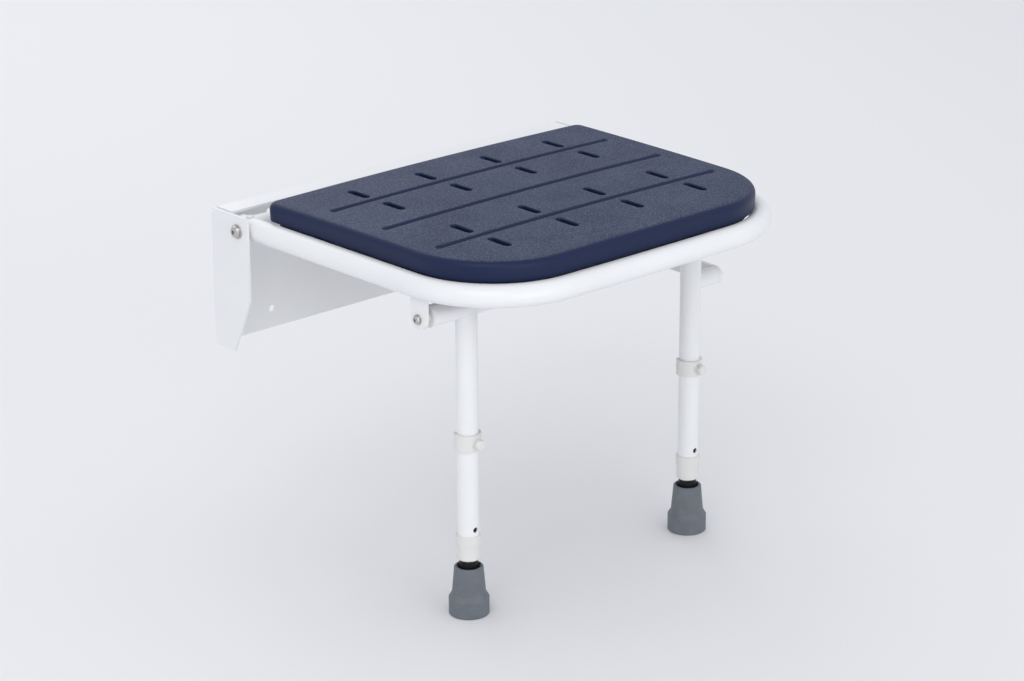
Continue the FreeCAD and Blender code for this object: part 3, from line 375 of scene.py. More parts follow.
@dataclass(frozen=True)
class Rubber:
    """Grey moulded rubber, dull, with light scuffs in blotches and specks."""

    name: str = "grey_rubber"
    colour: Colour = (0.135, 0.152, 0.172)
    scuffed: Colour = (0.20, 0.222, 0.245)
    blotch_scale: float = 70.0
    blotch_stops: Stops = ((0.4, 0.0), (0.75, 1.0))
    blotch_fade: float = 0.5
    speck_scale: float = 900.0
    speck_stops: Stops = ((0.05, 0.0), (0.35, 1.0))
    speck_fade: float = 0.25
    speck_share: float = 0.3
    roughness: Span = (0.55, 0.65)
    grain_scale: float = 1500.0
    grain_height: float = 0.06 * MM
    grain_strength: float = 0.6

    def material(self) -> bpy.types.Material:
        """Builds the finish.

        Returns:
            The material.
        """
        sheet = NodeSheet(self.name)
        blotch = sheet.noise(self.blotch_scale, detail=4.0, roughness=0.65)
        blotch = sheet.shaped(blotch, self.blotch_stops)
        speck = 1.0 - sheet.shaped(sheet.cells(self.speck_scale), self.speck_stops)
        scuffs = (blotch * self.blotch_fade + speck * self.speck_fade).held(0.0, 1.0)
        grain = sheet.noise(self.grain_scale, detail=3.0).blended(speck, self.speck_share)
        return sheet.surface(
            Base_Color=sheet.between(self.colour, self.scuffed, scuffs),
            Roughness=blotch.across(self.roughness),
            Normal=sheet.bump(grain, self.grain_strength, self.grain_height),
        )


@dataclass(frozen=True)
class Steel:
    """Stainless steel of the fasteners, a little smeared, with a fine grain."""

    name: str = "stainless_fasteners"
    colour: Colour = (0.60, 0.59, 0.57)
    dull: Colour = (0.42, 0.41, 0.40)
    smear_scale: float = 300.0
    smear_stops: Stops = ((0.4, 0.0), (0.8, 1.0))
    roughness: Span = (0.20, 0.36)
    grain_scale: float = 2400.0
    grain_height: float = 0.02 * MM
    grain_strength: float = 0.35

    def material(self) -> bpy.types.Material:
        """Builds the finish.

        Returns:
            The material.
        """
        sheet = NodeSheet(self.name)
        smear = sheet.noise(self.smear_scale, detail=3.0, roughness=0.6)
        dulled = sheet.shaped(smear, self.smear_stops)
        grain = sheet.noise(self.grain_scale)
        return sheet.surface(
            Base_Color=sheet.between(self.colour, self.dull, dulled),
            Metallic=1.0,
            Roughness=smear.across(self.roughness),
            Normal=sheet.bump(grain, self.grain_strength, self.grain_height),
        )


@dataclass(frozen=True)
class BlackTube:
    """Satin black coat of the inner tubes, a little rubbed in patches."""

    name: str = "black_inner_tube"
    colour: Colour = (0.008, 0.008, 0.009)
    rubbed: Colour = (0.02, 0.02, 0.022)
    gloss: float = 0.2
    rub_scale: float = 220.0
    rub_stops: Stops = ((0.45, 0.0), (0.8, 1.0))
    roughness: Span = (0.38, 0.53)
    grain_scale: float = 900.0
    grain_height: float = 0.03 * MM
    grain_strength: float = 0.4

    def material(self) -> bpy.types.Material:
        """Builds the finish.

        Returns:
            The material.
        """
        sheet = NodeSheet(self.name)
        rub = sheet.noise(self.rub_scale, detail=3.0, roughness=0.6)
        rub = sheet.shaped(rub, self.rub_stops)
        grain = sheet.noise(self.grain_scale)
        return sheet.surface(
            Base_Color=sheet.between(self.colour, self.rubbed, rub),
            Roughness=rub.across(self.roughness),
            Specular_IOR_Level=self.gloss,
            Normal=sheet.bump(grain, self.grain_strength, self.grain_height),
        )


@dataclass(frozen=True)
class Board:
    """Dark composite board under the pad, with a fine fibre."""

    name: str = "dark_board"
    colour: Colour = (0.018, 0.018, 0.020)
    fibre: Colour = (0.04, 0.04, 0.043)
    fibre_scale: float = 420.0
    fibre_stops: Stops = ((0.4, 0.0), (0.7, 1.0))
    fibre_height: float = 0.08 * MM
    fibre_strength: float = 0.5
    roughness: Span = (0.55, 0.75)

    def material(self) -> bpy.types.Material:
        """Builds the finish.

        Returns:
            The material.
        """
        sheet = NodeSheet(self.name)
        fibres = sheet.noise(self.fibre_scale, detail=5.0, roughness=0.7)
        pale = sheet.shaped(fibres, self.fibre_stops)
        return sheet.surface(
            Base_Color=sheet.between(self.colour, self.fibre, pale),
            Roughness=fibres.across(self.roughness),
            Normal=sheet.bump(fibres, self.fibre_strength, self.fibre_height),
        )


class Finish(Enum):
    """Every finish on the seat; its name is the slot's name in the record."""

    WHITE = PowderCoat()
    FOAM = MouldedFoam()
    PLASTIC = Plastic("off_white_plastic", (0.80, 0.795, 0.77), (0.75, 0.745, 0.715))
    STEEL = Steel()
    BLACK = BlackTube()
    RUBBER = Rubber()
    BOARD = Board()


def shown(name: str, data: bpy.types.ID) -> bpy.types.Object:
    """A new object in the scene.

    Args:
        name: its name.
        data: its mesh, light or camera.

    Returns:
        The object.
    """
    made = bpy.data.objects.new(name, data)
    bpy.context.scene.collection.objects.link(made)
    return made


class Workshop:
    """Hands out each finish's material, made once, and turns points into mesh objects."""

    def __init__(self) -> None:
        """Makes every finish."""
        self.materials = {finish: finish.value.material() for finish in Finish}

    def dress(self, nodes: Iterable[str], finish: Finish) -> None:
        """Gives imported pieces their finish.

        Args:
            nodes: names of pieces of the frame.
            finish: what they are made of.
        """
        for name in nodes:
            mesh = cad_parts[name].data
            mesh.materials.clear()
            mesh.materials.append(self.materials[finish])

    def piece(self, name: str, points: Sequence[Spot], faces: Sequence[Sequence[int]],
              finish: Finish, body: str) -> bpy.types.Object:
        """A new piece that rides on a body.

        Args:
            name: the piece's name.
            points: its points, in metres.
            faces: its faces, as point numbers.
            finish: what it is made of.
            body: the body it moves with.

        Returns:
            The new object.
        """
        mesh = bpy.data.meshes.new(name)
        mesh.from_pydata(points, [], faces)
        mesh.validate()
        mesh.polygons.foreach_set("use_smooth", [True] * len(mesh.polygons))
        mesh.materials.append(self.materials[finish])
        made = shown(name, mesh)
        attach(made, body)
        return made


@dataclass(frozen=True)
class PackedPieces:
    """A sub-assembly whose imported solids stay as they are; each field lists one finish's pieces."""

    painted: tuple[str, ...] = ()
    plastic: tuple[str, ...] = ()
    steel: tuple[str, ...] = ()
    black: tuple[str, ...] = ()
    rubber: tuple[str, ...] = ()
    board: tuple[str, ...] = ()

    def build(self, shop: Workshop) -> list[str]:
        """Dresses the pieces.

        Args:
            shop: holds the finishes.

        Returns:
            Their names.
        """
        finishes = {
            Finish.WHITE: self.painted,
            Finish.PLASTIC: self.plastic,
            Finish.STEEL: self.steel,
            Finish.BLACK: self.black,
            Finish.RUBBER: self.rubber,
            Finish.BOARD: self.board,
        }
        for finish, names in finishes.items():
            shop.dress(names, finish)
        return [name for names in finishes.values() for name in names]


@dataclass(frozen=True)
class WallBracket(PackedPieces):
    """The folded bracket on the wall, with what stays on it."""

    painted: tuple[str, ...] = ("wall_bracket", "stay_ear")
    plastic: tuple[str, ...] = ("cheek_bushes",)
    steel: tuple[str, ...] = ("stay_rear_bolt", "stay_rear_nut", "stay_rear_washers")


@dataclass(frozen=True)
class SeatFrame(PackedPieces):
    """The tube frame that folds up, with its bars, lugs and the board under the pad."""

    painted: tuple[str, ...] = (
        "seat_frame_tube", "rear_cross_tube", "pad_support_bars", "right_leg_lug", "left_leg_lug")
    plastic: tuple[str, ...] = ("frame_end_caps", "vent_plugs")
    steel: tuple[str, ...] = (
        "pivot_inserts", "pad_screws", "seat_pivot_washers", "seat_pivot_bolts")
    board: tuple[str, ...] = ("seat_base_board",)


@dataclass(frozen=True)
class Legs(PackedPieces):
    """Crossbar, telescopic legs and the stay that keeps them upright."""

    painted: tuple[str, ...] = (
        "leg_crossbar", "right_outer_leg", "left_outer_leg", "stay_stub", "leg_stay")
    plastic: tuple[str, ...] = (
        "crossbar_end_plugs", "leg_pivot_spacers", "right_lower_collar", "left_lower_collar",
        "right_leg_clip", "left_leg_clip", "right_lock_knob", "left_lock_knob",
        "right_tube_glide", "left_tube_glide")
    steel: tuple[str, ...] = (
        "leg_pivot_washers", "leg_pivot_bolts", "stay_stub_plug", "stay_front_washer",
        "stay_front_bolt", "right_lock_pin", "left_lock_pin", "right_foot_washer",
        "left_foot_washer")
    black: tuple[str, ...] = ("right_inner_tube", "left_inner_tube")
    rubber: tuple[str, ...] = ("right_rubber_foot", "left_rubber_foot")


def sides_of(ring: Sequence[Item]) -> list[tuple[Item, Item]]:
    """Each item of a closed ring with the next one, the last with the first."""
    return list(zip(ring, [*ring[1:], ring[0]]))


def within(ring: Sequence[Vector], x: float, y: float) -> bool:
    """Whether a point lies inside a closed ring.

    Args:
        ring: the ring's points.
        x: the point's first coordinate.
        y: its second.

    Returns:
        True inside the ring.
    """
    inside = False
    for a, b in sides_of(ring):
        if (a.y > y) != (b.y > y) and x < (b.x - a.x) * (y - a.y) / (b.y - a.y) + a.x:
            inside = not inside
    return inside


def inset_at(edge: Outline, x: float, y: float) -> float:
    """How far in from an outline a point lies, less than 0 outside it."""
    return min((px - x) * wx + (py - y) * wy for (px, py), (wx, wy) in edge)


def middle_of(points: Sequence[Vector], face: Sequence[int]) -> Point:
    """The middle of a triangle, from its point numbers."""
    return sum(points[n].x for n in face) / 3, sum(points[n].y for n in face) / 3


def round_insets(radius: float, angles: Iterable[float]) -> list[float]:
    """How far in from its edge a rounding has turned by each angle, in degrees."""
    return [radius * (1 - math.cos(math.radians(angle))) for angle in angles]


def round_drop(radius: float, inset: float) -> float:
    """How far below the level a rounding lies at an inset from its edge.

    Args:
        radius: the rounding's radius.
        inset: how far in from the edge.

    Returns:
        The drop, 0 from the radius inwards.
    """
    if inset >= radius:
        return 0.0
    return radius - math.sqrt(max(radius**2 - (radius - inset) ** 2, 0.0))


@dataclass(frozen=True)
class Stadium:
    """A straight mark with round ends, seen from above: a drain slot or a groove."""

    x: float
    y: float
    half_length: float
    along_wall: bool
    end_steps: int = 10

    def reach(self, x: float, y: float) -> float:
        """How far a point lies from the mark's middle line.

        Args:
            x: the point's place along the wall.
            y: its place out from the wall.

        Returns:
            The distance in metres.
        """
        along, aside = x - self.x, y - self.y
        if not self.along_wall:
            along, aside = aside, along
        return math.hypot(max(abs(along) - self.half_length, 0.0), aside)

    def _straight_steps(self, step: float) -> int:
        """How many steps of about one length the straight part takes."""
        return max(2, round(2 * self.half_length / step))

    def _placed(self, local: Iterable[Point]) -> list[Point]:
        """Turns and moves points to the mark's place.

        Args:
            local: points along and aside of the mark, from its middle.

        Returns:
            The points in the frame's X and Y.
        """
        if self.along_wall:
            return [(self.x + along, self.y + aside) for along, aside in local]
        return [(self.x - aside, self.y + along) for along, aside in local]

    def ring(self, distance: float, step: float) -> list[Point]:
        """Points round the mark at one distance, anticlockwise.

        Args:
            distance: how far out the ring lies.
            step: about how far apart its points are.

        Returns:
            The ring's points.
        """
        runs = self._straight_steps(step)
        local: list[Point] = []
        for end, start in ((1.0, -RIGHT_ANGLE), (-1.0, RIGHT_ANGLE)):
            for k in range(self.end_steps + 1):
                angle = start + math.pi * k / self.end_steps
                local.append((end * self.half_length + distance * math.cos(angle),
                              distance * math.sin(angle)))
            for k in range(1, runs):
                local.append((end * self.half_length * (1 - 2 * k / runs), end * distance))
        return self._placed(local)

    def line(self, step: float) -> list[Point]:
        """Points on the mark's middle line, about a step apart."""
        runs = self._straight_steps(step)
        return self._placed((self.half_length * (2 * k / runs - 1), 0.0) for k in range(runs + 1))


@dataclass
class EdgeWalk:
    """Points and outward directions noted on a walk along an edge, in steps of about one length."""

    step: float
    points: Outline
    bend_fineness: float = 1.3
    fewest_bend_steps: int = 4

    def run(self, end: Point) -> None:
        """Adds a straight run from the last point, short of its end and in one direction.

        Args:
            end: where the run ends.
        """
        (x, y), way = self.points[-1]
        steps = max(1, round(math.hypot(end[0] - x, end[1] - y) / self.step))
        for k in range(1, steps):
            spot = (x + (end[0] - x) * k / steps, y + (end[1] - y) * k / steps)
            self.points.append((spot, way))

    def bend(self, middle: Point, radius: float, start: float, end: float) -> None:
        """Adds a corner's arc between two angles in finer steps, with both its ends."""
        steps = round(abs(end - start) * radius / self.step * self.bend_fineness)
        self._arc(middle, radius, start, end, max(self.fewest_bend_steps, steps), first=0)

    def bow(self, middle: Point, radius: float, start: float, end: float) -> None:
        """Adds a wide arc in plain steps, which goes on from the last point."""
        self._arc(middle, radius, start, end, round(radius * (end - start) / self.step), first=1)

    def _arc(self, middle: Point, radius: float, start: float, end: float, steps: int,
             first: int) -> None:
        """Adds points on an arc.

        Args:
            middle: the arc's middle.
            radius: its radius.
            start: the angle it starts at.
            end: the angle it ends at.
            steps: how many steps the whole arc has.
            first: the first step that is noted.
        """
        for k in range(first, steps + 1):
            angle = start + (end - start) * k / steps
            way = (math.cos(angle), math.sin(angle))
            self.points.append(((middle[0] + radius * way[0], middle[1] + radius * way[1]), way))


@dataclass
class TopPlan:
    """The pad's top seen from above, before it is cut into triangles: points, insets, rings."""

    points: list[Point] = field(default_factory=list)
    insets: list[float] = field(default_factory=list)
    sides: list[tuple[int, int]] = field(default_factory=list)

    def add(self, points: Sequence[Point], inset: float) -> list[int]:
        """Adds single points.

        Args:
            points: the points.
            inset: how far in from the pad's edge they count.

        Returns:
            Their numbers.
        """
        first = len(self.points)
        self.points.extend(points)
        self.insets.extend([inset] * len(points))
        return list(range(first, len(self.points)))

    def add_ring(self, points: Sequence[Point], inset: float) -> list[int]:
        """Adds a closed ring of points, whose sides become edges of triangles.

        Args:
            points: the ring's points.
            inset: how far in from the pad's edge they count.

        Returns:
            Their numbers.
        """
        ring = self.add(points, inset)
        self.sides.extend(sides_of(ring))
        return ring


@dataclass
class Shell:
    """A mesh while it grows."""

    points: list[Spot]
    faces: list[list[int]]

    def add_ring(self, points: Iterable[Spot]) -> list[int]:
        """Adds points.

        Args:
            points: the points.

        Returns:
            Their numbers.
        """
        first = len(self.points)
        self.points.extend(points)
        return list(range(first, len(self.points)))

    def add_band(self, upper: Sequence[int], lower: Sequence[int]) -> None:
        """Adds four-sided faces between two rings that match point for point."""
        for (a, b), (c, d) in zip(sides_of(upper), sides_of(lower)):
            self.faces.append([a, c, d, b])

    def trim(self) -> None:
        """Drops the points that no face uses."""
        used = sorted({n for face in self.faces for n in face})
        number = {n: k for k, n in enumerate(used)}
        self.points = [self.points[n] for n in used]
        self.faces = [[number[n] for n in face] for face in self.faces]


@dataclass
class SeatPad:
    """The moulded pad: crowned, with a soft rim, sixteen drain slots and three pressed grooves.

    Rows, back and front are measured out from the pivot, widths from the middle of the seat. The
    gaps of the fill are shares of the rim, of a slot's lip and of a groove's half width.
    """

    top: float = 106.0 * MM
    thickness: float = 25.3 * MM
    crown: float = 2.6 * MM
    rim: float = 7.5 * MM
    rim_angles: tuple[float, ...] = (0, 15, 30, 45, 60, 75, 90)
    under_rim: float = 2.0 * MM
    under_rim_angles: tuple[float, ...] = (30, 60, 90)
    skirt_drop: float = 1.3 * MM
    skirt_width: float = 7.0 * MM
    side_shares: tuple[float, ...] = (0.3, 0.65, 1.0)
    draft: float = 0.5 * MM
    half_width: float = 251.7 * MM
    taper: float = math.radians(1.15)
    pivot_y: float = -52.8 * MM
    back: float = 20.1 * MM
    rear_corner: float = 13.0 * MM
    front: float = 403.1 * MM
    front_corner: float = 114.4 * MM
    bow: float = 8263.6 * MM
    slot_half: float = 13.0 * MM
    slot_radius: float = 4.6 * MM
    slot_lip: float = 1.8 * MM
    slot_lip_angles: tuple[float, ...] = (0, 30, 60, 90)
    slot_pitch: float = 103.8 * MM
    slot_columns: tuple[float, ...] = (-1.5, -0.5, 0.5, 1.5)
    slot_rows: tuple[float, ...] = (76.7 * MM, 140.6 * MM, 259.7 * MM, 323.7 * MM)
    slot_wall_shares: tuple[float, ...] = (0.5, 1.0)
    slot_sure_share: float = 0.98
    groove_half: float = 217.0 * MM
    groove_rows: tuple[float, ...] = (105.5 * MM, 199.0 * MM, 291.0 * MM)
    groove_depth: float = 3.3 * MM
    groove_half_width: float = 5.6 * MM
    groove_bulb: float = 1.6 * MM
    bulb_length: float = 7.0 * MM
    groove_sharpness: float = 1.1
    groove_rings: tuple[float, ...] = (0.2, 0.4, 0.6, 0.8, 1.0, 1.22)
    outline_step: float = 5.0 * MM
    slot_step: float = 4.0 * MM
    groove_step: float = 6.0 * MM
    fill_step: float = 8.0 * MM
    fill_rim_gap: float = 1.3
    fill_slot_gap: float = 2.2
    fill_groove_gap: float = 1.4
    slots: list[Stadium] = field(init=False)
    grooves: list[Stadium] = field(init=False)

    def __post_init__(self) -> None:
        """Places the slots and the grooves."""
        self.slots = [
            Stadium(column * self.slot_pitch, self.pivot_y - row, self.slot_half, along_wall=False)
            for column in self.slot_columns for row in self.slot_rows
        ]
        self.grooves = [
            Stadium(0.0, self.pivot_y - row, self.groove_half, along_wall=True)
            for row in self.groove_rows
        ]

    def corner_middle(self) -> Point:
        """Middle of the right front corner's bend, across and out from the pivot.

        The bend touches the tapering side and the bowed front edge.

        Returns:
            Its two distances.
        """
        lean = math.sin(self.taper) / math.cos(self.taper)
        shift = self.half_width - self.front_corner / math.cos(self.taper)
        bow_out = self.front - self.bow
        reach = self.bow - self.front_corner
        a, b, c = lean**2 + 1, -2 * (shift * lean + bow_out), shift**2 + bow_out**2 - reach**2
        out = (-b + math.sqrt(b * b - 4 * a * c)) / (2 * a)
        return shift - out * lean, out

    def outline(self) -> Outline:
        """The pad's edge seen from above, anticlockwise, each point with its outward direction.

        Returns:
            Points and directions, in the frame's X and Y.
        """
        front_middle = self.corner_middle()
        rear_out = self.back + self.rear_corner
        rear_across = (self.half_width - rear_out * math.tan(self.taper)
                       - self.rear_corner / math.cos(self.taper))
        bow_middle = (0.0, self.front - self.bow)
        meet = math.atan2(front_middle[1] - bow_middle[1], front_middle[0])

        walk = EdgeWalk(self.outline_step, [((0.0, self.back), (0.0, -1.0))])
        walk.run((rear_across, self.back))
        walk.bend((rear_across, rear_out), self.rear_corner, -RIGHT_ANGLE, self.taper)
        walk.run((front_middle[0] + self.front_corner * math.cos(self.taper),
                  front_middle[1] + self.front_corner * math.sin(self.taper)))
        walk.bend(front_middle, self.front_corner, self.taper, meet)
        walk.bow(bow_middle, self.bow, meet, RIGHT_ANGLE)

        half = walk.points
        whole = half + [((-x, out), (-wx, wo)) for (x, out), (wx, wo) in reversed(half[1:-1])]
        return [((x, self.pivot_y - out), (wx, -wo)) for (x, out), (wx, wo) in reversed(whole)]

    def level(self, x: float, y: float, inset: float) -> float:
        """Height of the pad's top.

        Args:
            x: place along the wall.
            y: place out from the wall.
            inset: how far in from the pad's edge, or the rim's width where further.

        Returns:
            Z in metres.
        """
        middle = self.pivot_y - (self.back + self.front) / 2
        ball = self.half_width**2 / (2 * self.crown)
        z = self.top - (x * x + (y - middle) ** 2) / (2 * ball)
        z -= round_drop(self.rim, inset)
        for groove in self.grooves:
            z -= self.groove_dip(groove, x, y)
        for slot in self.slots:
            z -= round_drop(self.slot_lip, max(slot.reach(x, y) - self.slot_radius, 0.0))
        return z

    def groove_dip(self, groove: Stadium, x: float, y: float) -> float:
        """How far a groove is pressed in at a point; its two ends are a little wider.

        Args:
            groove: the groove.
            x: place along the wall.
            y: place out from the wall.

        Returns:
            The dip in metres.
        """
        reach = groove.reach(x, y)
        from_end = groove.half_length - abs(x - groove.x)
        swell = math.exp(-((from_end / self.bulb_length) ** 2))
        width = self.groove_half_width + self.groove_bulb * swell
        if reach >= width:
            return 0.0
        wave = 0.5 + 0.5 * math.cos(math.pi * reach / width)
        return self.groove_depth * wave**self.groove_sharpness

    def slot_reach(self, x: float, y: float) -> float:
        """How far a point lies from the middle line of the nearest slot."""
        return min(slot.reach(x, y) for slot in self.slots)

    def build(self, shop: Workshop) -> list[str]:
        """Makes the pad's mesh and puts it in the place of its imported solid.

        Args:
            shop: makes the object.

        Returns:
            The pad's name.
        """
        edge = self.outline()
        plan = TopPlan()
        rims = [
            plan.add_ring([(x - wx * inset, y - wy * inset) for (x, y), (wx, wy) in edge], inset)
            for inset in round_insets(self.rim, self.rim_angles)
        ]
        holes = self._mark_slots(plan)
        self._mark_grooves(plan)
        self._fill(plan, edge)
        shell, number = self._top(plan, edge)
        floor_rings = [self._side(shell, edge, [number[n] for n in rims[0]])]
        floor_rings += [self._slot_wall(shell, [number[n] for n in hole]) for hole in holes]
        self._underside(shell, floor_rings)
        shell.trim()
        pad = shop.piece("moulded_pad", shell.points, shell.faces, Finish.FOAM, "seat")
        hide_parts("seat_pad")
        return [pad.name]

    def _mark_slots(self, plan: TopPlan) -> list[list[int]]:
        """Adds rings down each slot's rounded lip.

        Args:
            plan: the top's plan, extended here.

        Returns:
            Point numbers of each slot's own edge.
        """
        holes = []
        for slot in self.slots:
            rings = [
                plan.add_ring(slot.ring(self.slot_radius + inset, self.slot_step), self.rim)
                for inset in round_insets(self.slot_lip, self.slot_lip_angles)
            ]
            holes.append(rings[0])
        return holes

    def _mark_grooves(self, plan: TopPlan) -> None:
        """Adds each groove's middle line and rings across its width.

        Args:
            plan: the top's plan, extended here.
        """
        for groove in self.grooves:
            plan.add(groove.line(self.groove_step), self.rim)
            for share in self.groove_rings:
                ring = groove.ring(self.groove_half_width * share, self.groove_step)
                plan.add_ring(ring, self.rim)

    def _fill(self, plan: TopPlan, edge: Outline) -> None:
        """Adds an even grid of points to the open parts of the pad's top.

        Args:
            plan: the top's plan, extended here.
            edge: the pad's outline.
        """
        xs = [x for (x, _), _ in edge]
        ys = [y for (_, y), _ in edge]
        columns = int((max(xs) - min(xs)) / self.fill_step)
        rows = int((max(ys) - min(ys)) / self.fill_step)
        by_slot = self.slot_radius + self.fill_slot_gap * self.slot_lip
        by_groove = self.groove_half_width * self.fill_groove_gap
        by_rim = self.rim * self.fill_rim_gap
        for i in range(1, columns):
            for j in range(1, rows):
                x, y = min(xs) + i * self.fill_step, min(ys) + j * self.fill_step
                near_groove = min(g.reach(x, y) for g in self.grooves) < by_groove
                near_slot = self.slot_reach(x, y) < by_slot
                if inset_at(edge, x, y) > by_rim and not near_slot and not near_groove:
                    plan.add([(x, y)], self.rim)

    def _top(self, plan: TopPlan, edge: Outline) -> tuple[Shell, dict[int, int]]:
        """Cuts the plan into triangles and raises it to the top's level.

        Args:
            plan: the top's plan.
            edge: the pad's outline.

        Returns:
            The top, and its point number for each of the plan's.
        """
        points, _, faces, origin, _, _ = delaunay_2d_cdt(
            [Vector(p) for p in plan.points], plan.sides, [], 0, SAME_POINT)
        insets = [plan.insets[sources[0]] if sources else self.rim for sources in origin]
        number = {sources[0]: n for n, sources in enumerate(origin) if sources}
        raised = [(p.x, p.y, self.level(p.x, p.y, inset)) for p, inset in zip(points, insets)]
        kept = [list(face) for face in faces if self._on_pad(*middle_of(points, face), edge)]
        return Shell(raised, kept), number

    def _on_pad(self, x: float, y: float, edge: Outline) -> bool:
        """Whether a point lies on the pad and not in a slot."""
        return self.slot_reach(x, y) >= self.slot_radius and inset_at(edge, x, y) > 0

    def _side(self, shell: Shell, edge: Outline, rim: Sequence[int]) -> list[int]:
        """Adds the side, the rounded lower edge and the skirt's inner face.

        Args:
            shell: the pad so far, extended here.
            edge: the pad's outline.
            rim: point numbers of the top's outer ring.

        Returns:
            Point numbers of the ring where the underside starts.
        """
        under = self.top - self.thickness
        lip = under - self.skirt_drop
        soft = self.under_rim
        high = [shell.points[n][2] for n in rim]
        profile = [
            (self.draft * share, [z + (lip + soft - z) * share for z in high])
            for share in self.side_shares
        ]
        for angle in self.under_rim_angles:
            turn = math.radians(angle)
            z = lip + soft * (1 - math.sin(turn))
            profile.append((self.draft + soft * (1 - math.cos(turn)), [z] * len(high)))
        profile.append((self.skirt_width, [lip] * len(high)))
        profile.append((self.skirt_width + self.skirt_drop, [under] * len(high)))
        last = list(rim)
        for pull, heights in profile:
            ring = shell.add_ring(
                (x - wx * pull, y - wy * pull, z) for z, ((x, y), (wx, wy)) in zip(heights, edge))
            shell.add_band(last, ring)
            last = ring
        return last

    def _slot_wall(self, shell: Shell, hole: Sequence[int]) -> list[int]:
        """Adds the wall of one slot.

        Args:
            shell: the pad so far, extended here.
            hole: point numbers of the slot's edge on top.

        Returns:
            Point numbers of its lowest ring.
        """
        under = self.top - self.thickness
        edge = [shell.points[n] for n in hole]
        last = list(hole)
        for share in self.slot_wall_shares:
            ring = shell.add_ring((x, y, z + (under - z) * share) for x, y, z in edge)
            shell.add_band(ring, last)
            last = ring
        return last

    def _underside(self, shell: Shell, rings: Sequence[Sequence[int]]) -> None:
        """Closes the flat underside round the slots.

        Args:
            shell: the pad so far, extended here.
            rings: the outer ring and each slot's lowest ring.
        """
        flat = [n for ring in rings for n in ring]
        spots = [Vector(shell.points[n][:2]) for n in flat]
        place = {n: k for k, n in enumerate(flat)}
        sides = [(place[a], place[b]) for ring in rings for a, b in sides_of(ring)]
        points, _, triangles, origin, _, _ = delaunay_2d_cdt(spots, sides, [], 0, SAME_POINT)
        outer = [spots[place[n]] for n in rings[0]]
        slot = self.slot_radius * self.slot_sure_share
        for triangle in triangles:
            x, y = middle_of(points, triangle)
            if self.slot_reach(x, y) >= slot and within(outer, x, y):
                shell.faces.append([flat[origin[n][0]] for n in reversed(triangle)])


@dataclass(frozen=True)
class Softbox:
    """A square soft lamp."""

    name: str
    place: Spot
    target: Spot
    side: float
    watts: float

    def hang(self) -> None:
        """Adds the lamp, turned to what it lights."""
        light = bpy.data.lights.new(self.name, "AREA")
        light.shape = "SQUARE"
        light.size = self.side
        light.energy = self.watts
        made = shown(self.name, light)
        made.location = self.place
        way = Vector(self.target) - Vector(self.place)
        made.rotation_euler = way.to_track_quat("-Z", "Y").to_euler()


@dataclass(frozen=True)
class Camera:
    """A camera at the photograph's place, angle and field of view."""

    name: str = "photo_camera"
    place: Spot = (-2.3214, -2.7919, 1.1575)
    yaw: float = math.radians(43.4134)
    pitch: float = math.radians(19.5499)
    roll: float = math.radians(-0.1781)
    focal_pixels: float = 3047.10
    centre_pixel: Point = (577.11, 324.84)
    picture: Point = (1024.0, 681.0)
    sensor: float = 36.0

    def set_up(self) -> None:
        """Adds the camera and makes it the scene's."""
        lens = bpy.data.cameras.new(self.name)
        width, height = self.picture
        lens.sensor_width = self.sensor
        lens.lens = self.focal_pixels / width * self.sensor
        lens.shift_x = (width / 2 - self.centre_pixel[0]) / width
        lens.shift_y = (self.centre_pixel[1] - height / 2) / width
        made = shown(self.name, lens)
        made.matrix_world = Matrix.Translation(Vector(self.place)) @ self._turn()
        bpy.context.scene.camera = made

    def _turn(self) -> Matrix:
        """The camera's rotation from yaw, pitch and roll.

        Returns:
            A matrix of four rows.
        """
        forward = Vector((math.sin(self.yaw) * math.cos(self.pitch),
                          math.cos(self.yaw) * math.cos(self.pitch), -math.sin(self.pitch)))
        right = Vector((math.cos(self.yaw), -math.sin(self.yaw), 0.0))
        down = forward.cross(right)
        across = right * math.cos(self.roll) + down * math.sin(self.roll)
        low = down * math.cos(self.roll) - right * math.sin(self.roll)
        return Matrix((across, -low, -forward)).transposed().to_4x4()


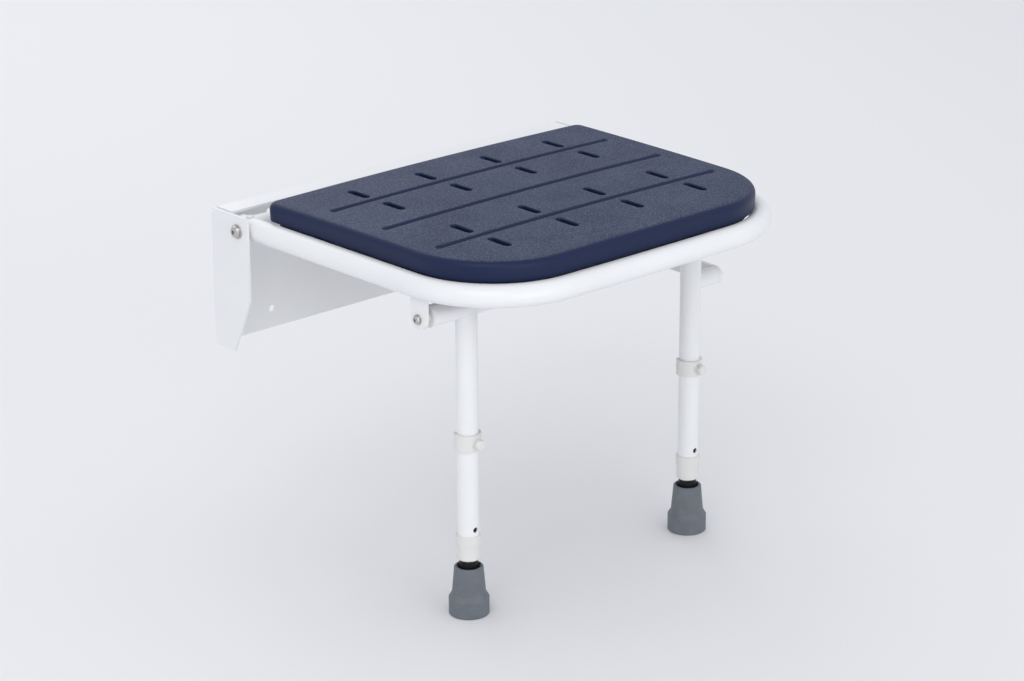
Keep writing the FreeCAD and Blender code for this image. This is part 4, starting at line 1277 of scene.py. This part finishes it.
@dataclass(frozen=True)
class Studio:
    """Pale floor and surround, soft lamps, and the camera."""

    floor_corners: tuple[Point, ...] = ((-6, -8), (6, -8), (6, 6), (-6, 6))
    floor_colour: Colour = (0.87, 0.872, 0.882)
    floor_roughness: Span = (0.75, 0.80)
    floor_gloss: float = 0.2
    cloud_scale: float = 40.0
    wall_colour: Colour = (0.83, 0.835, 0.85)
    world_colour: Colour = (0.93, 0.95, 1.0)
    world_strength: float = 0.80
    lamps: tuple[Softbox, ...] = (
        Softbox("key_softbox", (-2.6, -2.0, 2.6), (0.0, -0.25, 0.0), 2.2, 28.0),
        Softbox("front_fill", (-0.6, -3.8, 0.7), (0.0, -0.25, -0.1), 2.2, 20.0),
        Softbox("back_fill", (0.8, 3.0, 2.2), (0.0, -0.2, 0.0), 2.6, 20.0),
    )

    def build(self) -> None:
        """Sets the floor, the lamps, the world and the camera."""
        self._floor("pale_floor")
        for lamp in self.lamps:
            lamp.hang()
        self._world("pale_surround")
        Camera().set_up()
        bpy.context.scene.view_settings.view_transform = "Standard"

    def _floor(self, name: str) -> None:
        """Lays a flat floor under the feet, which isn't part of the object.

        Args:
            name: the name of the floor and its finish.
        """
        mesh = bpy.data.meshes.new(name)
        mesh.from_pydata([(x, y, FLOOR_Z) for x, y in self.floor_corners], [], [(0, 1, 2, 3)])
        sheet = NodeSheet(name)
        mesh.materials.append(sheet.surface(
            Base_Color=(*self.floor_colour, 1.0),
            Roughness=sheet.noise(self.cloud_scale).across(self.floor_roughness),
            Specular_IOR_Level=self.floor_gloss,
        ))
        shown(name, mesh)

    def _world(self, name: str) -> None:
        """Sets a nearly white light all round, which the camera sees in the wall's colour.

        Args:
            name: the world's name.
        """
        world = bpy.data.worlds.new(name)
        bpy.context.scene.world = world
        world.use_nodes = True
        sheet = NodeWriter(world.node_tree)
        light = sheet.node("ShaderNodeBackground", {}, {
            "Color": (*self.world_colour, 1.0), "Strength": self.world_strength})
        wall = sheet.node("ShaderNodeBackground", {}, {"Color": (*self.wall_colour, 1.0)})
        seen = sheet.node("ShaderNodeLightPath", {}, {}).outputs["Is Camera Ray"]
        mix = sheet.node(
            "ShaderNodeMixShader", {}, {0: seen, 1: light.outputs[0], 2: wall.outputs[0]})
        sheet.node("ShaderNodeOutputWorld", {}, {"Surface": mix.outputs[0]})


def main() -> None:
    """Builds each sub-assembly in order and reports each piece."""
    logging.basicConfig(level=logging.INFO, format="%(message)s")
    shop = Workshop()
    for assembly in (WallBracket(), SeatFrame(), Legs(), SeatPad()):
        for piece in assembly.build(shop):
            log.info("%s: %s", type(assembly).__name__, piece)
    Studio().build()


if __name__ == "__main__":
    main()
